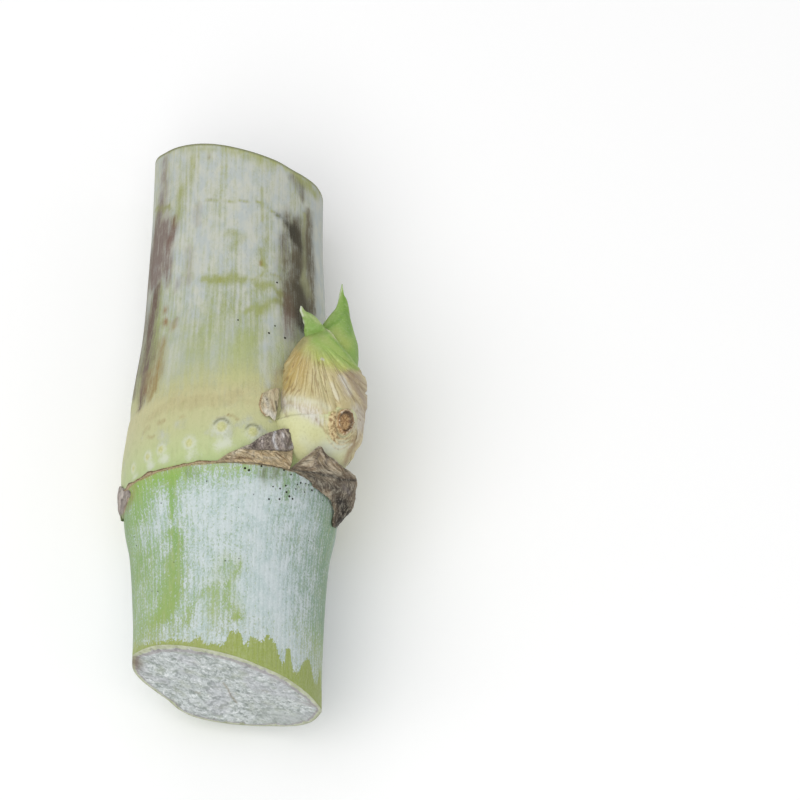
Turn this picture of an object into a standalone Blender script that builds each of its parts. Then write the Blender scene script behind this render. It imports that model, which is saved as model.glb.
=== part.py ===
# A napier grass cutting: a short length of cane cut above and below one node,
# with its bud, its root eyes and the torn scraps of its leaf sheath.
#
# The cutting is modelled along its own axis first: +Y runs up the stem, +Z is the
# side that faces up, and +X is the side that the bud leans to. Station 0 is the
# leaf scar. An empty then lays the whole cutting down, so that it rests on the
# swollen node and on the rim of its upper end.

import math
import random

import bpy
import bmesh
from mathutils import Matrix, Vector, noise

MM = 0.001

# Driving dimensions of the cane
LOWER_CUT = -27.8 * MM
UPPER_CUT = 51.0 * MM
LOWER_SLANT = (-0.272, -0.065)
UPPER_SLANT = (-0.25, -0.05)
LOWER_FADE = 15 * MM
UPPER_FADE = 22 * MM
LOWER_RADIUS = 13.05 * MM
NODE_RADIUS = 15.5 * MM
UPPER_RADIUS = 12.1 * MM
SCAR_HEIGHT = 0.4 * MM
SCAR_WIDTH = 0.75 * MM
GROWTH_RING_STATION = 12.6 * MM
GROWTH_RING_DEPTH = 0.18 * MM
COLUMNS = 72

# Where the cutting touches the ground
REST_STATION = 4.4 * MM
REST_DEPTH = 0.35 * MM
ORIGIN_SHIFT = 0.4 * MM

# Driving dimensions of the root band
EYE_COUNT = 16
EYE_STATION = 4.2 * MM
EYE_SWAY = 1.2 * MM
EYE_RADIUS = 0.8 * MM
EYE_HEIGHT = 0.4 * MM

# Root eyes on the upper side: degrees round the cane, and millimetres up from the scar
UPPER_EYES = [(-65, 2.6), (-51, 3.1), (-41.5, 3.5), (-23.6, 3.4), (-6.2, 5.5), (10, 4.9)]

# Driving dimensions of the bud
BUD_ANGLE = math.radians(52)
BUD_GAP = 0.3 * MM
SCALE_THICKNESS = 0.65 * MM
BASE_TOP = 11.2 * MM
SHOULDER = 9.0 * MM
TORN_EDGE = 10.0 * MM
BUD_SIDES = 30
BUD_FOOT = 2.4 * MM
BUD_TIP = 31.5 * MM

# Driving dimensions of the sheath scraps
SCRAP_GAP = 0.3 * MM
SCRAP_THICKNESS = 0.65 * MM
SCRAP_COLUMNS = 18
SCRAP_ROWS = 5

# Radius of the cane along its axis, from the lower cut to the upper one
CANE_PROFILE = [
    (-40 * MM, LOWER_RADIUS),
    (-23 * MM, LOWER_RADIUS + 0.03 * MM),
    (-14.4 * MM, LOWER_RADIUS + 0.36 * MM),
    (-8.2 * MM, LOWER_RADIUS + 0.88 * MM),
    (-4.0 * MM, NODE_RADIUS - 0.75 * MM),
    (0, NODE_RADIUS - 0.35 * MM),
    (4.2 * MM, NODE_RADIUS),
    (10.4 * MM, NODE_RADIUS - 0.6 * MM),
    (16.6 * MM, NODE_RADIUS - 1.25 * MM),
    (26 * MM, NODE_RADIUS - 2.4 * MM),
    (34 * MM, UPPER_RADIUS + 0.6 * MM),
    (43 * MM, UPPER_RADIUS + 0.2 * MM),
    (70 * MM, UPPER_RADIUS),
]

# The spindle of the bud: station, sideways shift, distance from the cane's axis,
# and half its width and half its depth there
BUD_SPINDLE = [
    (0.0 * MM, 0.0 * MM, 15.8 * MM, 2.0 * MM, 1.2 * MM),
    (3.5 * MM, 0.0 * MM, 16.1 * MM, 4.0 * MM, 2.8 * MM),
    (6.5 * MM, 0.0 * MM, 16.4 * MM, 5.2 * MM, 4.0 * MM),
    (10.0 * MM, 0.0 * MM, 16.4 * MM, 5.8 * MM, 4.6 * MM),
    (15.0 * MM, 0.0 * MM, 16.3 * MM, 5.8 * MM, 4.6 * MM),
    (18.0 * MM, 0.5 * MM, 16.2 * MM, 5.3 * MM, 4.2 * MM),
    (20.2 * MM, 1.2 * MM, 16.2 * MM, 4.6 * MM, 3.7 * MM),
    (23.9 * MM, 2.85 * MM, 16.1 * MM, 2.7 * MM, 2.2 * MM),
    (27.0 * MM, 3.5 * MM, 16.2 * MM, 1.5 * MM, 1.25 * MM),
    (29.3 * MM, 3.7 * MM, 16.5 * MM, 0.8 * MM, 0.7 * MM),
    (31.5 * MM, 3.4 * MM, 16.5 * MM, 0.3 * MM, 0.3 * MM),
]


def smooth_value(table, column, t):
    # A curve through the table's points that never overshoots between them
    last = len(table) - 2
    i = 0
    while i < last and t > table[i + 1][0]:
        i += 1

    def slope(k):
        return (table[k + 1][column] - table[k][column]) / (table[k + 1][0] - table[k][0])

    def tangent(k):
        if k == 0:
            return slope(0)
        if k == last + 1:
            return slope(last)
        before = slope(k - 1)
        after = slope(k)
        if before * after <= 0:
            return 0
        return 2 * before * after / (before + after)

    width = table[i + 1][0] - table[i][0]
    x = min(max((t - table[i][0]) / width, 0), 1)
    start = table[i][column]
    end = table[i + 1][column]
    rise = (2 * x**3 - 3 * x**2 + 1) * start + (3 * x**2 - 2 * x**3) * end
    bend = (x**3 - 2 * x**2 + x) * tangent(i) + (x**3 - x**2) * tangent(i + 1)
    return rise + bend * width


def fade(x):
    # 0 up to 0, 1 from 1 on, smooth between
    x = min(max(x, 0), 1)
    return x * x * (3 - 2 * x)


def cane_radius(t):
    scar = SCAR_HEIGHT * math.exp(-((t / SCAR_WIDTH) ** 2))
    ring = GROWTH_RING_DEPTH * math.exp(-(((t - GROWTH_RING_STATION) / (1.1 * MM)) ** 2))
    return smooth_value(CANE_PROFILE, 1, t) + scar - ring


def cane_point(t, angle, radius):
    # Angle 0 faces up, and it grows towards the side that the bud leans to
    return Vector((radius * math.sin(angle), t, radius * math.cos(angle)))


def slanted(t, angle):
    # The two cuts are slanted planes, and the rows near them follow them
    radius = cane_radius(t)
    x = radius * math.sin(angle)
    z = radius * math.cos(angle)
    low = 1 - fade((t - LOWER_CUT) / LOWER_FADE)
    high = 1 - fade((UPPER_CUT - t) / UPPER_FADE)
    shift_low = LOWER_SLANT[0] * x + LOWER_SLANT[1] * z
    shift_high = UPPER_SLANT[0] * x + UPPER_SLANT[1] * z
    return t + low * shift_low + high * shift_high


def lying_matrix():
    # The cutting tips down until its upper rim touches the ground too
    angle_below = math.pi
    tip = slanted(UPPER_CUT, angle_below)
    fall = cane_radius(REST_STATION) - cane_radius(UPPER_CUT)
    tilt = math.asin(fall / (tip - REST_STATION))
    turn = Matrix.Rotation(-tilt, 4, "X")
    foot = turn @ cane_point(REST_STATION, angle_below, cane_radius(REST_STATION))
    shift = Vector((0, -foot.y - ORIGIN_SHIFT, -foot.z - REST_DEPTH))
    return Matrix.Translation(shift) @ turn


def make_object(name, builder):
    mesh = bpy.data.meshes.new(name)
    bmesh.ops.recalc_face_normals(builder, faces=builder.faces)
    builder.to_mesh(mesh)
    builder.free()
    made = bpy.data.objects.new(name, mesh)
    bpy.context.scene.collection.objects.link(made)
    return made


def loft(name, rings):
    # Closed body through rings with equally many points, each end closed by a fan
    builder = bmesh.new()
    rows = []
    for ring in rings:
        rows.append([builder.verts.new(point) for point in ring])
    count = len(rows[0])
    for low, high in zip(rows, rows[1:]):
        for k in range(count):
            after = (k + 1) % count
            builder.faces.new((low[k], low[after], high[after], high[k]))
    for row in (rows[0], rows[-1]):
        centre = sum((vert.co for vert in row), Vector()) / count
        hub = builder.verts.new(centre)
        for k in range(count):
            builder.faces.new((row[k], row[(k + 1) % count], hub))
    return make_object(name, builder)


def apply_steps(target):
    graph = bpy.context.evaluated_depsgraph_get()
    made = bpy.data.meshes.new_from_object(target.evaluated_get(graph))
    target.modifiers.clear()
    target.data = made


def combine(target, other, operation):
    # Joins other to target or cuts it away, and drops other
    step = target.modifiers.new("step", "BOOLEAN")
    step.operation = operation
    step.object = other
    apply_steps(target)
    bpy.data.objects.remove(other)


def finish(piece, colour, roughness):
    # Smooth shading with crisp cut edges, and one plain material
    material = bpy.data.materials.new(piece.name + "_finish")
    material.use_nodes = True
    shader = material.node_tree.nodes["Principled BSDF"]
    shader.inputs["Base Color"].default_value = (*colour, 1)
    shader.inputs["Roughness"].default_value = roughness
    shader.inputs["Metallic"].default_value = 0
    piece.data.materials.clear()
    piece.data.materials.append(material)
    piece.data.shade_smooth()
    piece.data.set_sharp_from_angle(angle=math.radians(38))
    return piece


def spread(start, end, count):
    return [start + (end - start) * k / count for k in range(count)]


def cane_stations():
    # Close rows at the scar and round the rest spot, wider ones along the stem
    rows = spread(LOWER_CUT, -6 * MM, 8)
    rows += spread(-6 * MM, -2 * MM, 3)
    rows += spread(-2 * MM, 2 * MM, 8)
    rows += spread(2 * MM, 14.5 * MM, 10)
    rows += spread(14.5 * MM, 44 * MM, 10)
    rows += spread(44 * MM, UPPER_CUT, 3)
    rows.append(UPPER_CUT)
    return rows


def cut_face_rings(station):
    # Two rings inside the rim keep the triangles of a cut face short
    rings = []
    for share in (1, 0.62, 0.25):
        ring = []
        for k in range(COLUMNS):
            angle = math.tau * k / COLUMNS
            rim = cane_point(slanted(station, angle), angle, cane_radius(station))
            middle = Vector((0, station, 0))
            ring.append(middle.lerp(rim, share))
        rings.append(ring)
    return rings


def root_eye(angle, station):
    # A low dome with its root sunk in the cane
    radius = cane_radius(station)
    builder = bmesh.new()
    bmesh.ops.create_uvsphere(builder, u_segments=9, v_segments=6, radius=1)
    outwards = Vector((math.sin(angle), 0, math.cos(angle)))
    turn = outwards.to_track_quat("Z", "Y").to_matrix().to_4x4()
    size = Matrix.Diagonal((EYE_RADIUS, EYE_RADIUS, 2 * EYE_HEIGHT, 1))
    place = Matrix.Translation(cane_point(station, angle, radius - EYE_HEIGHT))
    builder.transform(place @ turn @ size)
    return make_object("root_eye", builder)


def eye_places():
    # The root eyes on the upper side, and a loose ring of them round the rest of the band
    places = [(math.radians(angle), station * MM) for angle, station in UPPER_EYES]
    draw = random.Random(11)
    for k in range(EYE_COUNT):
        angle = math.radians(90) + math.tau * (k + draw.uniform(-0.2, 0.2)) / EYE_COUNT
        station = EYE_STATION + draw.uniform(-1, 1) * EYE_SWAY
        on_ground = abs(angle - math.pi) < math.radians(18)
        if angle < math.radians(264) and not on_ground:
            places.append((angle, station))
    return places


def build_cane(placing):
    rings = list(reversed(cut_face_rings(LOWER_CUT)))
    for station in cane_stations()[1:-1]:
        ring = []
        for k in range(COLUMNS):
            angle = math.tau * k / COLUMNS
            ring.append(cane_point(slanted(station, angle), angle, cane_radius(station)))
        rings.append(ring)
    rings += cut_face_rings(UPPER_CUT)
    back = placing.inverted()
    for ring in rings:
        for point in ring:
            world = placing @ point
            if world.z < 0:
                world.z = 0
                point[:] = back @ world
    cane = loft("cane", rings)
    eyes = bpy.data.collections.new("root eyes")
    bpy.context.scene.collection.children.link(eyes)
    for angle, station in eye_places():
        eye = root_eye(angle, station)
        bpy.context.scene.collection.objects.unlink(eye)
        eyes.objects.link(eye)
    step = cane.modifiers.new("eyes", "BOOLEAN")
    step.operation = "UNION"
    step.operand_type = "COLLECTION"
    step.collection = eyes
    apply_steps(cane)
    for eye in list(eyes.objects):
        bpy.data.objects.remove(eye)
    bpy.data.collections.remove(eyes)
    return finish(cane, (0.46, 0.56, 0.36), 0.55)


def bud_point(t, sideways, outwards):
    # Sideways 0 is the middle of the bud, and outwards is measured from the cane's axis
    across = Vector((math.cos(BUD_ANGLE), 0, -math.sin(BUD_ANGLE)))
    away = Vector((math.sin(BUD_ANGLE), 0, math.cos(BUD_ANGLE)))
    return across * sideways + away * outwards + Vector((0, t, 0))


def bud_ring(t, grow):
    middle = smooth_value(BUD_SPINDLE, 1, t)
    distance = smooth_value(BUD_SPINDLE, 2, t)
    half_width = smooth_value(BUD_SPINDLE, 3, t) + grow
    half_depth = smooth_value(BUD_SPINDLE, 4, t) + grow
    ring = []
    for k in range(BUD_SIDES):
        turn = math.tau * k / BUD_SIDES
        sideways = middle + half_width * math.cos(turn)
        outwards = distance + half_depth * math.sin(turn)
        ring.append(bud_point(t, sideways, outwards))
    return ring


def cane_cutter():
    # The cane with the bud's gap round it
    rings = []
    for station in spread(-4 * MM, 40 * MM, 34):
        radius = cane_radius(station) + BUD_GAP
        ring = []
        for k in range(COLUMNS):
            ring.append(cane_point(station, math.tau * k / COLUMNS, radius))
        rings.append(ring)
    return loft("cane_cutter", rings)


def prism(name, outline, near, far):
    # A straight block through the bud, from an outline of (sideways, station) points
    builder = bmesh.new()
    rows = []
    for distance in (near, far):
        rows.append([builder.verts.new(bud_point(t, sideways, distance)) for sideways, t in outline])
    count = len(outline)
    for k in range(count):
        after = (k + 1) % count
        builder.faces.new((rows[0][k], rows[0][after], rows[1][after], rows[1][k]))
    for row in rows:
        builder.faces.new(row)
    return make_object(name, builder)


def build_bud_base():
    # The swollen foot, with a narrower neck that stands in the outer scale
    swell = BUD_GAP + SCALE_THICKNESS
    rings = []
    for t in spread(BUD_FOOT, SHOULDER, 9):
        rings.append(bud_ring(t, swell * fade((t - BUD_FOOT) / (2.5 * MM))))
    rings.append(bud_ring(SHOULDER, swell * 0.9))
    rings.append(bud_ring(SHOULDER + 0.3 * MM, 0))
    rings.append(bud_ring(BASE_TOP, 0))
    base = loft("bud_base", rings)
    combine(base, scar_ring(), "UNION")
    combine(base, cane_cutter(), "DIFFERENCE")
    return finish(base, (0.72, 0.68, 0.42), 0.5)


def scar_ring():
    # The root eye on the foot of the bud: a low rim round a sunken centre
    station = 6.9 * MM
    sideways = -1.0 * MM
    surface = 21.2 * MM
    profile = [(0, 0.1), (0.45, 0.35), (0.8, 0.3), (1.0, -0.1), (1.0, -1.2), (0, -1.2)]
    half_width = 1.75 * MM
    half_height = 2.1 * MM
    sides = 16
    builder = bmesh.new()
    rows = []
    for reach, rise in profile:
        row = []
        for k in range(sides):
            turn = math.tau * k / sides
            point = bud_point(
                station + half_height * reach * math.sin(turn),
                sideways + half_width * reach * math.cos(turn),
                surface + rise * MM,
            )
            row.append(builder.verts.new(point))
            if reach == 0:
                break
        rows.append(row)
    for low, high in zip(rows, rows[1:]):
        for k in range(sides):
            after = (k + 1) % sides
            corners = [low[k % len(low)], low[after % len(low)], high[after % len(high)], high[k % len(high)]]
            builder.faces.new(list(dict.fromkeys(corners)))
    return make_object("scar_ring", builder)


def build_inner_scale():
    # The rolled young leaves, ending in the right horn
    rings = []
    for t in spread(BASE_TOP + BUD_GAP, BUD_TIP, 16):
        rings.append(bud_ring(t, 0))
    rings.append(bud_ring(BUD_TIP, 0))
    spindle = loft("bud_inner_scale", rings)
    combine(spindle, cane_cutter(), "DIFFERENCE")
    return finish(spindle, (0.42, 0.56, 0.16), 0.45)


def left_horn():
    # The hooked tip of the outer scale
    rings = []
    steps = 6
    sides = 12
    for k in range(steps + 1):
        share = k / steps
        t = (18.8 + 6.9 * share) * MM
        sideways = (-1.5 - 1.5 * share) * MM
        outwards = (17.6 - 3.3 * share**1.5) * MM
        radius = (1.9 * (1 - share) ** 0.8 + 0.25) * MM
        ring = []
        for side in range(sides):
            turn = math.tau * side / sides
            across = sideways + radius * math.cos(turn)
            ring.append(bud_point(t, across, outwards + radius * math.sin(turn)))
        rings.append(ring)
    return loft("left_horn", rings)


def build_outer_scale():
    # One scale wraps the spindle and is open where its two edges part, high on the right
    low = TORN_EDGE - 2 * MM
    top = 25 * MM
    near = 8 * MM
    far = 27 * MM
    cover = BUD_GAP + SCALE_THICKNESS
    outer = loft("bud_outer_scale", [bud_ring(t, cover) for t in spread(low, top, 16)])
    combine(outer, left_horn(), "UNION")
    combine(outer, cane_cutter(), "DIFFERENCE")
    inside = loft("inside", [bud_ring(t, BUD_GAP) for t in spread(low - 1 * MM, BUD_TIP, 22)])
    combine(outer, inside, "DIFFERENCE")
    edge = [(-2.2, 22.4), (-0.1, 19.4), (2.7, 17.1), (5.0, 16.2), (9, 15.6), (9, 34), (-1.6, 34)]
    opening = [(sideways * MM, t * MM) for sideways, t in edge]
    combine(outer, prism("opening", opening, near, far), "DIFFERENCE")
    combine(outer, prism("torn", torn_outline(low), near, far), "DIFFERENCE")
    return finish(outer, (0.6, 0.5, 0.24), 0.5)


def torn_outline(low):
    # Everything below the ragged lower edge of the outer scale
    draw = random.Random(5)
    teeth = 16
    reach = 9 * MM
    torn = []
    for k in range(teeth + 1):
        sideways = -reach + 2 * reach * k / teeth
        torn.append((sideways, TORN_EDGE + draw.uniform(-0.45, 0.45) * MM))
    torn.append((reach, low - 2 * MM))
    torn.append((-reach, low - 2 * MM))
    return torn


def bridged_radius(t):
    # The cane with the hollows beside its scar filled, so that a scrap bridges them
    reach = fade((4 * MM - abs(t)) / (2 * MM))
    return max(cane_radius(t), smooth_value(CANE_PROFILE, 1, t) + SCAR_HEIGHT * reach)


def scrap(name, edges, ripple, seed, colour):
    # A dry leaf scrap that hugs the cane. Each row of its edges gives an angle in
    # degrees, then in millimetres its lower and its upper station there, and how far
    # the scrap stands off the cane at the lower and at the upper edge
    rows = SCRAP_ROWS
    columns = SCRAP_COLUMNS
    draw = random.Random(seed)
    first = edges[0][0]
    last = edges[-1][0]
    builder = bmesh.new()
    inner = []
    outer = []
    for i in range(columns + 1):
        degree = first + (last - first) * i / columns
        low = smooth_value(edges, 1, degree) + draw.uniform(-0.15, 0.15)
        high = smooth_value(edges, 2, degree) + draw.uniform(-0.3, 0.3)
        lift_low = smooth_value(edges, 3, degree)
        lift_high = smooth_value(edges, 4, degree)
        angle = math.radians(degree)
        below = []
        above = []
        for j in range(rows + 1):
            share = j / rows
            t = (low + (high - low) * share) * MM
            wave = abs(noise.noise(Vector((angle * 9, share * 2.1, seed)))) * ripple
            lift = (lift_low + (lift_high - lift_low) * share + wave) * MM
            radius = bridged_radius(t) + SCRAP_GAP + lift
            below.append(builder.verts.new(cane_point(t, angle, radius)))
            above.append(builder.verts.new(cane_point(t, angle, radius + SCRAP_THICKNESS)))
        inner.append(below)
        outer.append(above)
    for sheet in (inner, outer):
        for i in range(columns):
            for j in range(rows):
                builder.faces.new((sheet[i][j], sheet[i + 1][j], sheet[i + 1][j + 1]))
                builder.faces.new((sheet[i][j], sheet[i + 1][j + 1], sheet[i][j + 1]))
    for i in range(columns):
        for j in (0, rows):
            builder.faces.new((inner[i][j], inner[i + 1][j], outer[i + 1][j], outer[i][j]))
    for j in range(rows):
        for i in (0, columns):
            builder.faces.new((inner[i][j], inner[i][j + 1], outer[i][j + 1], outer[i][j]))
    return finish(make_object(name, builder), colour, 0.8)


def build_grey_flap():
    # The upper layer of the torn sheath to the left of the bud
    edges = [
        (-5, -0.2, 0.3, 0.1, 0.1),
        (6, 0.3, 1.8, 0.5, 0.6),
        (14, 1.7, 3.6, 0.9, 1.2),
        (23, 2.1, 4.2, 0.9, 1.5),
        (28, 1.9, 3.2, 0.8, 1.2),
    ]
    return scrap("sheath_flap_grey", edges, 0.5, 3, (0.33, 0.29, 0.27))


def build_tan_flap():
    # The layer below it, close to the cane
    edges = [
        (9, -0.4, 0.2, 0.0, 0.0),
        (16, -0.5, 0.9, 0.0, 0.1),
        (29, -0.9, 1.0, 0.0, 0.1),
    ]
    return scrap("sheath_flap_tan", edges, 0.2, 4, (0.42, 0.32, 0.2))


def build_right_flap():
    # The torn sheath under the bud, whose tongue stands up against the bud's foot
    edges = [
        (31, -0.4, 0.4, 0.0, 0.3),
        (37.5, -0.8, 1.6, 0.0, 1.3),
        (43.7, -1.2, 3.0, 0.1, 3.6),
        (50, -1.9, 2.2, 0.2, 3.4),
        (60, -2.3, 2.4, 0.3, 3.0),
        (70, -3.6, 2.2, 0.5, 2.2),
        (78, -4.6, 2.2, 0.4, 1.6),
        (96, -3.0, 1.2, 0.1, 0.4),
    ]
    return scrap("sheath_flap_right", edges, 0.5, 5, (0.3, 0.25, 0.22))


def build_left_edge():
    # The papery remnant at the other end of the scar
    edges = [
        (-104, -0.8, 0.8, 0.0, 0.0),
        (-92, -2.4, 2.4, 0.0, 0.0),
        (-80, -1.6, 2.0, 0.0, 0.0),
        (-72, -0.6, 0.8, 0.0, 0.0),
    ]
    return scrap("sheath_edge_left", edges, 0.1, 6, (0.3, 0.24, 0.27))


def build_bract():
    # A small papery scale beside the foot of the bud
    edges = [
        (14, 6.8, 7.6, 0.1, 0.3),
        (18, 5.6, 10.0, 0.1, 0.6),
        (25, 5.2, 10.6, 0.1, 0.9),
    ]
    return scrap("bud_bract", edges, 0.4, 8, (0.62, 0.5, 0.3))


def main():
    for old in list(bpy.data.objects):
        bpy.data.objects.remove(old)
    placing = lying_matrix()
    pieces = [build_cane(placing), build_bud_base(), build_inner_scale(), build_outer_scale()]
    pieces += [build_grey_flap(), build_tan_flap(), build_right_flap(), build_left_edge()]
    pieces.append(build_bract())
    holder = bpy.data.objects.new("cutting", None)
    holder.matrix_world = placing
    bpy.context.scene.collection.objects.link(holder)
    for piece in pieces:
        piece.parent = holder


main()
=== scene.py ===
import math
import random

import bpy
import numpy as np
from mathutils import Matrix, Vector


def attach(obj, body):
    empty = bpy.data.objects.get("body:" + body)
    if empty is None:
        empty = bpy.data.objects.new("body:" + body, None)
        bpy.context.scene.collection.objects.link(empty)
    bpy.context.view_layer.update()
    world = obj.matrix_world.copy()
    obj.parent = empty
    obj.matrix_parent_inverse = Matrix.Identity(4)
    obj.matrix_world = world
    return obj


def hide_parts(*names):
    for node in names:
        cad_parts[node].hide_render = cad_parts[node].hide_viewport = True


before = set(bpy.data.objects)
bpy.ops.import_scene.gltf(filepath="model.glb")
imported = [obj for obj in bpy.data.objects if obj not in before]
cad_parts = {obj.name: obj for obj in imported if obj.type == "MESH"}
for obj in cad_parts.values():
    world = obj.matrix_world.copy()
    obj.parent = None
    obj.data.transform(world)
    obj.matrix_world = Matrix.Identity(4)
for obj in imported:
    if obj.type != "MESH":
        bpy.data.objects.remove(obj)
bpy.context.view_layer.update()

print("frame loaded")

# All sizes here are millimetres along the cutting's own axes: y runs up the stem from the leaf scar,
# z is the side that faces up, and x is the side that the bud leans to. Angle 0 faces up.
toMetres = 0.001

stem = {
    "lowerCut": -27.8,
    "upperCut": 51.0,
    "lowerSlant": (-0.272, -0.065),  # how far the cut moves along the stem for each mm of x and of z
    "upperSlant": (-0.25, -0.05),
    "lowerFade": 15.0,
    "upperFade": 22.0,
    "restStation": 4.4,
    "restDepth": 0.35,
    "originShift": 0.4,
    "scarHeight": 0.4,
    "scarWidth": 0.75,
    "growthRing": (12.6, 0.18, 1.1),  # station, depth and width
    "skinRadius": 14.0,  # of the plain tube that marks and grain are laid out on
    "nodeRadius": 15.3,
    "clearance": (0.02, 0.05),  # how far the pieces, and the cane itself, stay above the floor
    "columns": 360,
    "nodeSpan": (-4, 9),  # where the rings of the wall lie closer together
    "wallRings": (58, 50, 96),  # how many rings there are below it, along it and above it
    "faceRings": (40, 14),
}

shot = {
    "slope": 25.4,  # degrees between the stem and the picture
    "distance": 600.0,
    "pixelsPerMm": 7.14,
    "scarPixel": (231.0, 507.0),  # where the middle of the scar's ring lies in the picture
    "roll": -0.35,
    "sensor": 36.0,
    "side": 800,
}


# Curves, noise and other arithmetic

def smoothCurve(points):
    # a function through (station, value) points that never overshoots between them
    x = np.array([p[0] for p in points], float)
    y = np.array([p[1] for p in points], float)
    slopes = np.diff(y) / np.diff(x)
    tangents = np.concatenate([slopes[:1], np.zeros(len(x) - 2), slopes[-1:]])
    both = slopes[:-1] * slopes[1:]
    safe = np.where(both > 0, slopes[:-1] + slopes[1:], 1)
    tangents[1:-1] = np.where(both > 0, 2 * both / safe, 0)

    def read(t):
        t = np.asarray(t, float)
        i = np.clip(np.searchsorted(x, t, side="right") - 1, 0, len(x) - 2)
        width = x[i + 1] - x[i]
        s = np.clip((t - x[i]) / width, 0, 1)
        rise = (2 * s**3 - 3 * s**2 + 1) * y[i] + (3 * s**2 - 2 * s**3) * y[i + 1]
        return rise + ((s**3 - 2 * s**2 + s) * tangents[i] + (s**3 - s**2) * tangents[i + 1]) * width

    return read


def fade(x):
    x = np.clip(x, 0, 1)
    return x * x * (3 - 2 * x)


def hill(distance):
    return np.exp(-np.square(distance))


def latticeValue(cell, seed):
    # the same number from 0 to 1 for the same whole-number place
    n = cell[..., 0] * 73856093 ^ cell[..., 1] * 19349663 ^ cell[..., 2] * 83492791 ^ (seed * 2654435 + 97)
    n = (n ^ (n >> 15)) & 0x7FFFFFFF
    n = (n * 48271) & 0x7FFFFFFF
    n = (n ^ (n >> 13)) & 0x7FFFFFFF
    n = (n * 69621) & 0x7FFFFFFF
    return ((n >> 7) & 0xFFFF) / 65535.0


def softNoise(points, seed):
    # soft blobs about one unit wide, from 0 to 1
    low = np.floor(points).astype(np.int64)
    s = fade(points - low)
    total = 0
    for corner in range(8):
        step = np.array([corner & 1, corner >> 1 & 1, corner >> 2 & 1])
        weight = np.prod(np.where(step, s, 1 - s), axis=-1)
        total = total + weight * latticeValue(low + step, seed)
    return total


def cloud(points, size, seed, layers=3):
    # several layers of soft noise: size is how wide a blob is along each axis
    total = 0
    reach = 0
    for k in range(layers):
        share = 0.5**k
        total = total + share * softNoise(points / np.array(size) * 2**k, seed + 31 * k)
        reach = reach + share
    return total / reach


def tint(red, green, blue, share=0.92):
    # a colour as it shows on screen, 0 to 255, turned into light; the studio light gives back the share left out
    screen = np.array([red, green, blue]) / 255
    light = np.where(screen <= 0.04045, screen / 12.92, ((screen + 0.055) / 1.055) ** 2.4)
    return tuple(float(v) for v in light * share)


def colourRun(t, stops):
    # colours along a line of stops, (station, red, green, blue) each
    light = np.array([tint(*stop[1:]) for stop in stops])
    stations = [stop[0] for stop in stops]
    return np.stack([np.interp(t, stations, light[:, k]) for k in range(3)], axis=-1)


def lineDistance(x, y, stops):
    # how far each place lies from a line through stops of (x, y, half-width), in half-widths
    stops = stops * 2 if len(stops) == 1 else stops
    best = np.full(x.shape, 1e6)
    for (ax, ay, aw), (bx, by, bw) in zip(stops, stops[1:]):
        dx, dy = bx - ax, by - ay
        s = np.clip(((x - ax) * dx + (y - ay) * dy) / (dx * dx + dy * dy + 1e-9), 0, 1)
        best = np.minimum(best, np.hypot(x - ax - s * dx, y - ay - s * dy) / (aw + (bw - aw) * s))
    return best


def aroundTo(angle):
    # the same angle, from half a turn left to half a turn right
    return (angle + math.pi) % math.tau - math.pi


# The stem's shape, the same as the solid's

profile = smoothCurve([
    (-40, 13.05), (-23, 13.08), (-14.4, 13.41), (-8.2, 13.93), (-4, 14.75), (0, 15.15), (4.2, 15.5),
    (10.4, 14.9), (16.6, 14.25), (26, 13.1), (34, 12.7), (43, 12.3), (70, 12.1),
])


def stemRadius(t):
    station, depth, width = stem["growthRing"]
    scar = stem["scarHeight"] * hill(t / stem["scarWidth"])
    return profile(t) + scar - depth * hill((t - station) / width)


def stemPoint(t, angle, radius):
    return np.stack([radius * np.sin(angle), t + 0 * angle, radius * np.cos(angle)], axis=-1)


def slanted(t, angle):
    x, z = stemRadius(t) * np.sin(angle), stemRadius(t) * np.cos(angle)
    low = 1 - fade((t - stem["lowerCut"]) / stem["lowerFade"])
    high = 1 - fade((stem["upperCut"] - t) / stem["upperFade"])
    for share, slant in ((low, stem["lowerSlant"]), (high, stem["upperSlant"])):
        t = t + share * (slant[0] * x + slant[1] * z)
    return t


def plainCut(name, angle):
    # the station of a cut edge before it is worn
    return slanted(np.full(np.shape(angle), stem[name]), angle)


def lyingPlace():
    # the tilt and the shift that lay the cutting down, as in the solid
    tip = float(slanted(stem["upperCut"], math.pi))
    foot = float(stemRadius(stem["restStation"]))
    fall = foot - float(stemRadius(stem["upperCut"]))
    tilt = math.asin(fall / (tip - stem["restStation"]))
    turn = Matrix.Rotation(-tilt, 3, "X")
    lowest = turn @ Vector((0, stem["restStation"], -foot))
    shift = Vector((0, -lowest.y - stem["originShift"], -lowest.z - stem["restDepth"]))
    return tilt, np.array(turn), np.array(shift)


tilt, turn, shift = lyingPlace()


def laidDown(points):
    return points @ turn.T + shift


def stoodUp(points):
    return (points - shift) @ turn


def aboveFloor(points, clearance):
    # the same points, none of them below the floor that the cutting lies on
    laid = laidDown(points)
    laid[..., 2] = np.maximum(laid[..., 2], clearance)
    return stoodUp(laid)


# Camera

def cameraAxes():
    rise = math.pi / 2 + tilt - math.radians(shot["slope"])
    back = np.array([0, -math.cos(rise), math.sin(rise)])
    right = np.array([1.0, 0, 0])
    up = np.cross(back, right)
    roll = math.radians(shot["roll"])
    leant = right * math.cos(roll) - up * math.sin(roll)
    up = up * math.cos(roll) + right * math.sin(roll)
    return leant, up, back


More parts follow.
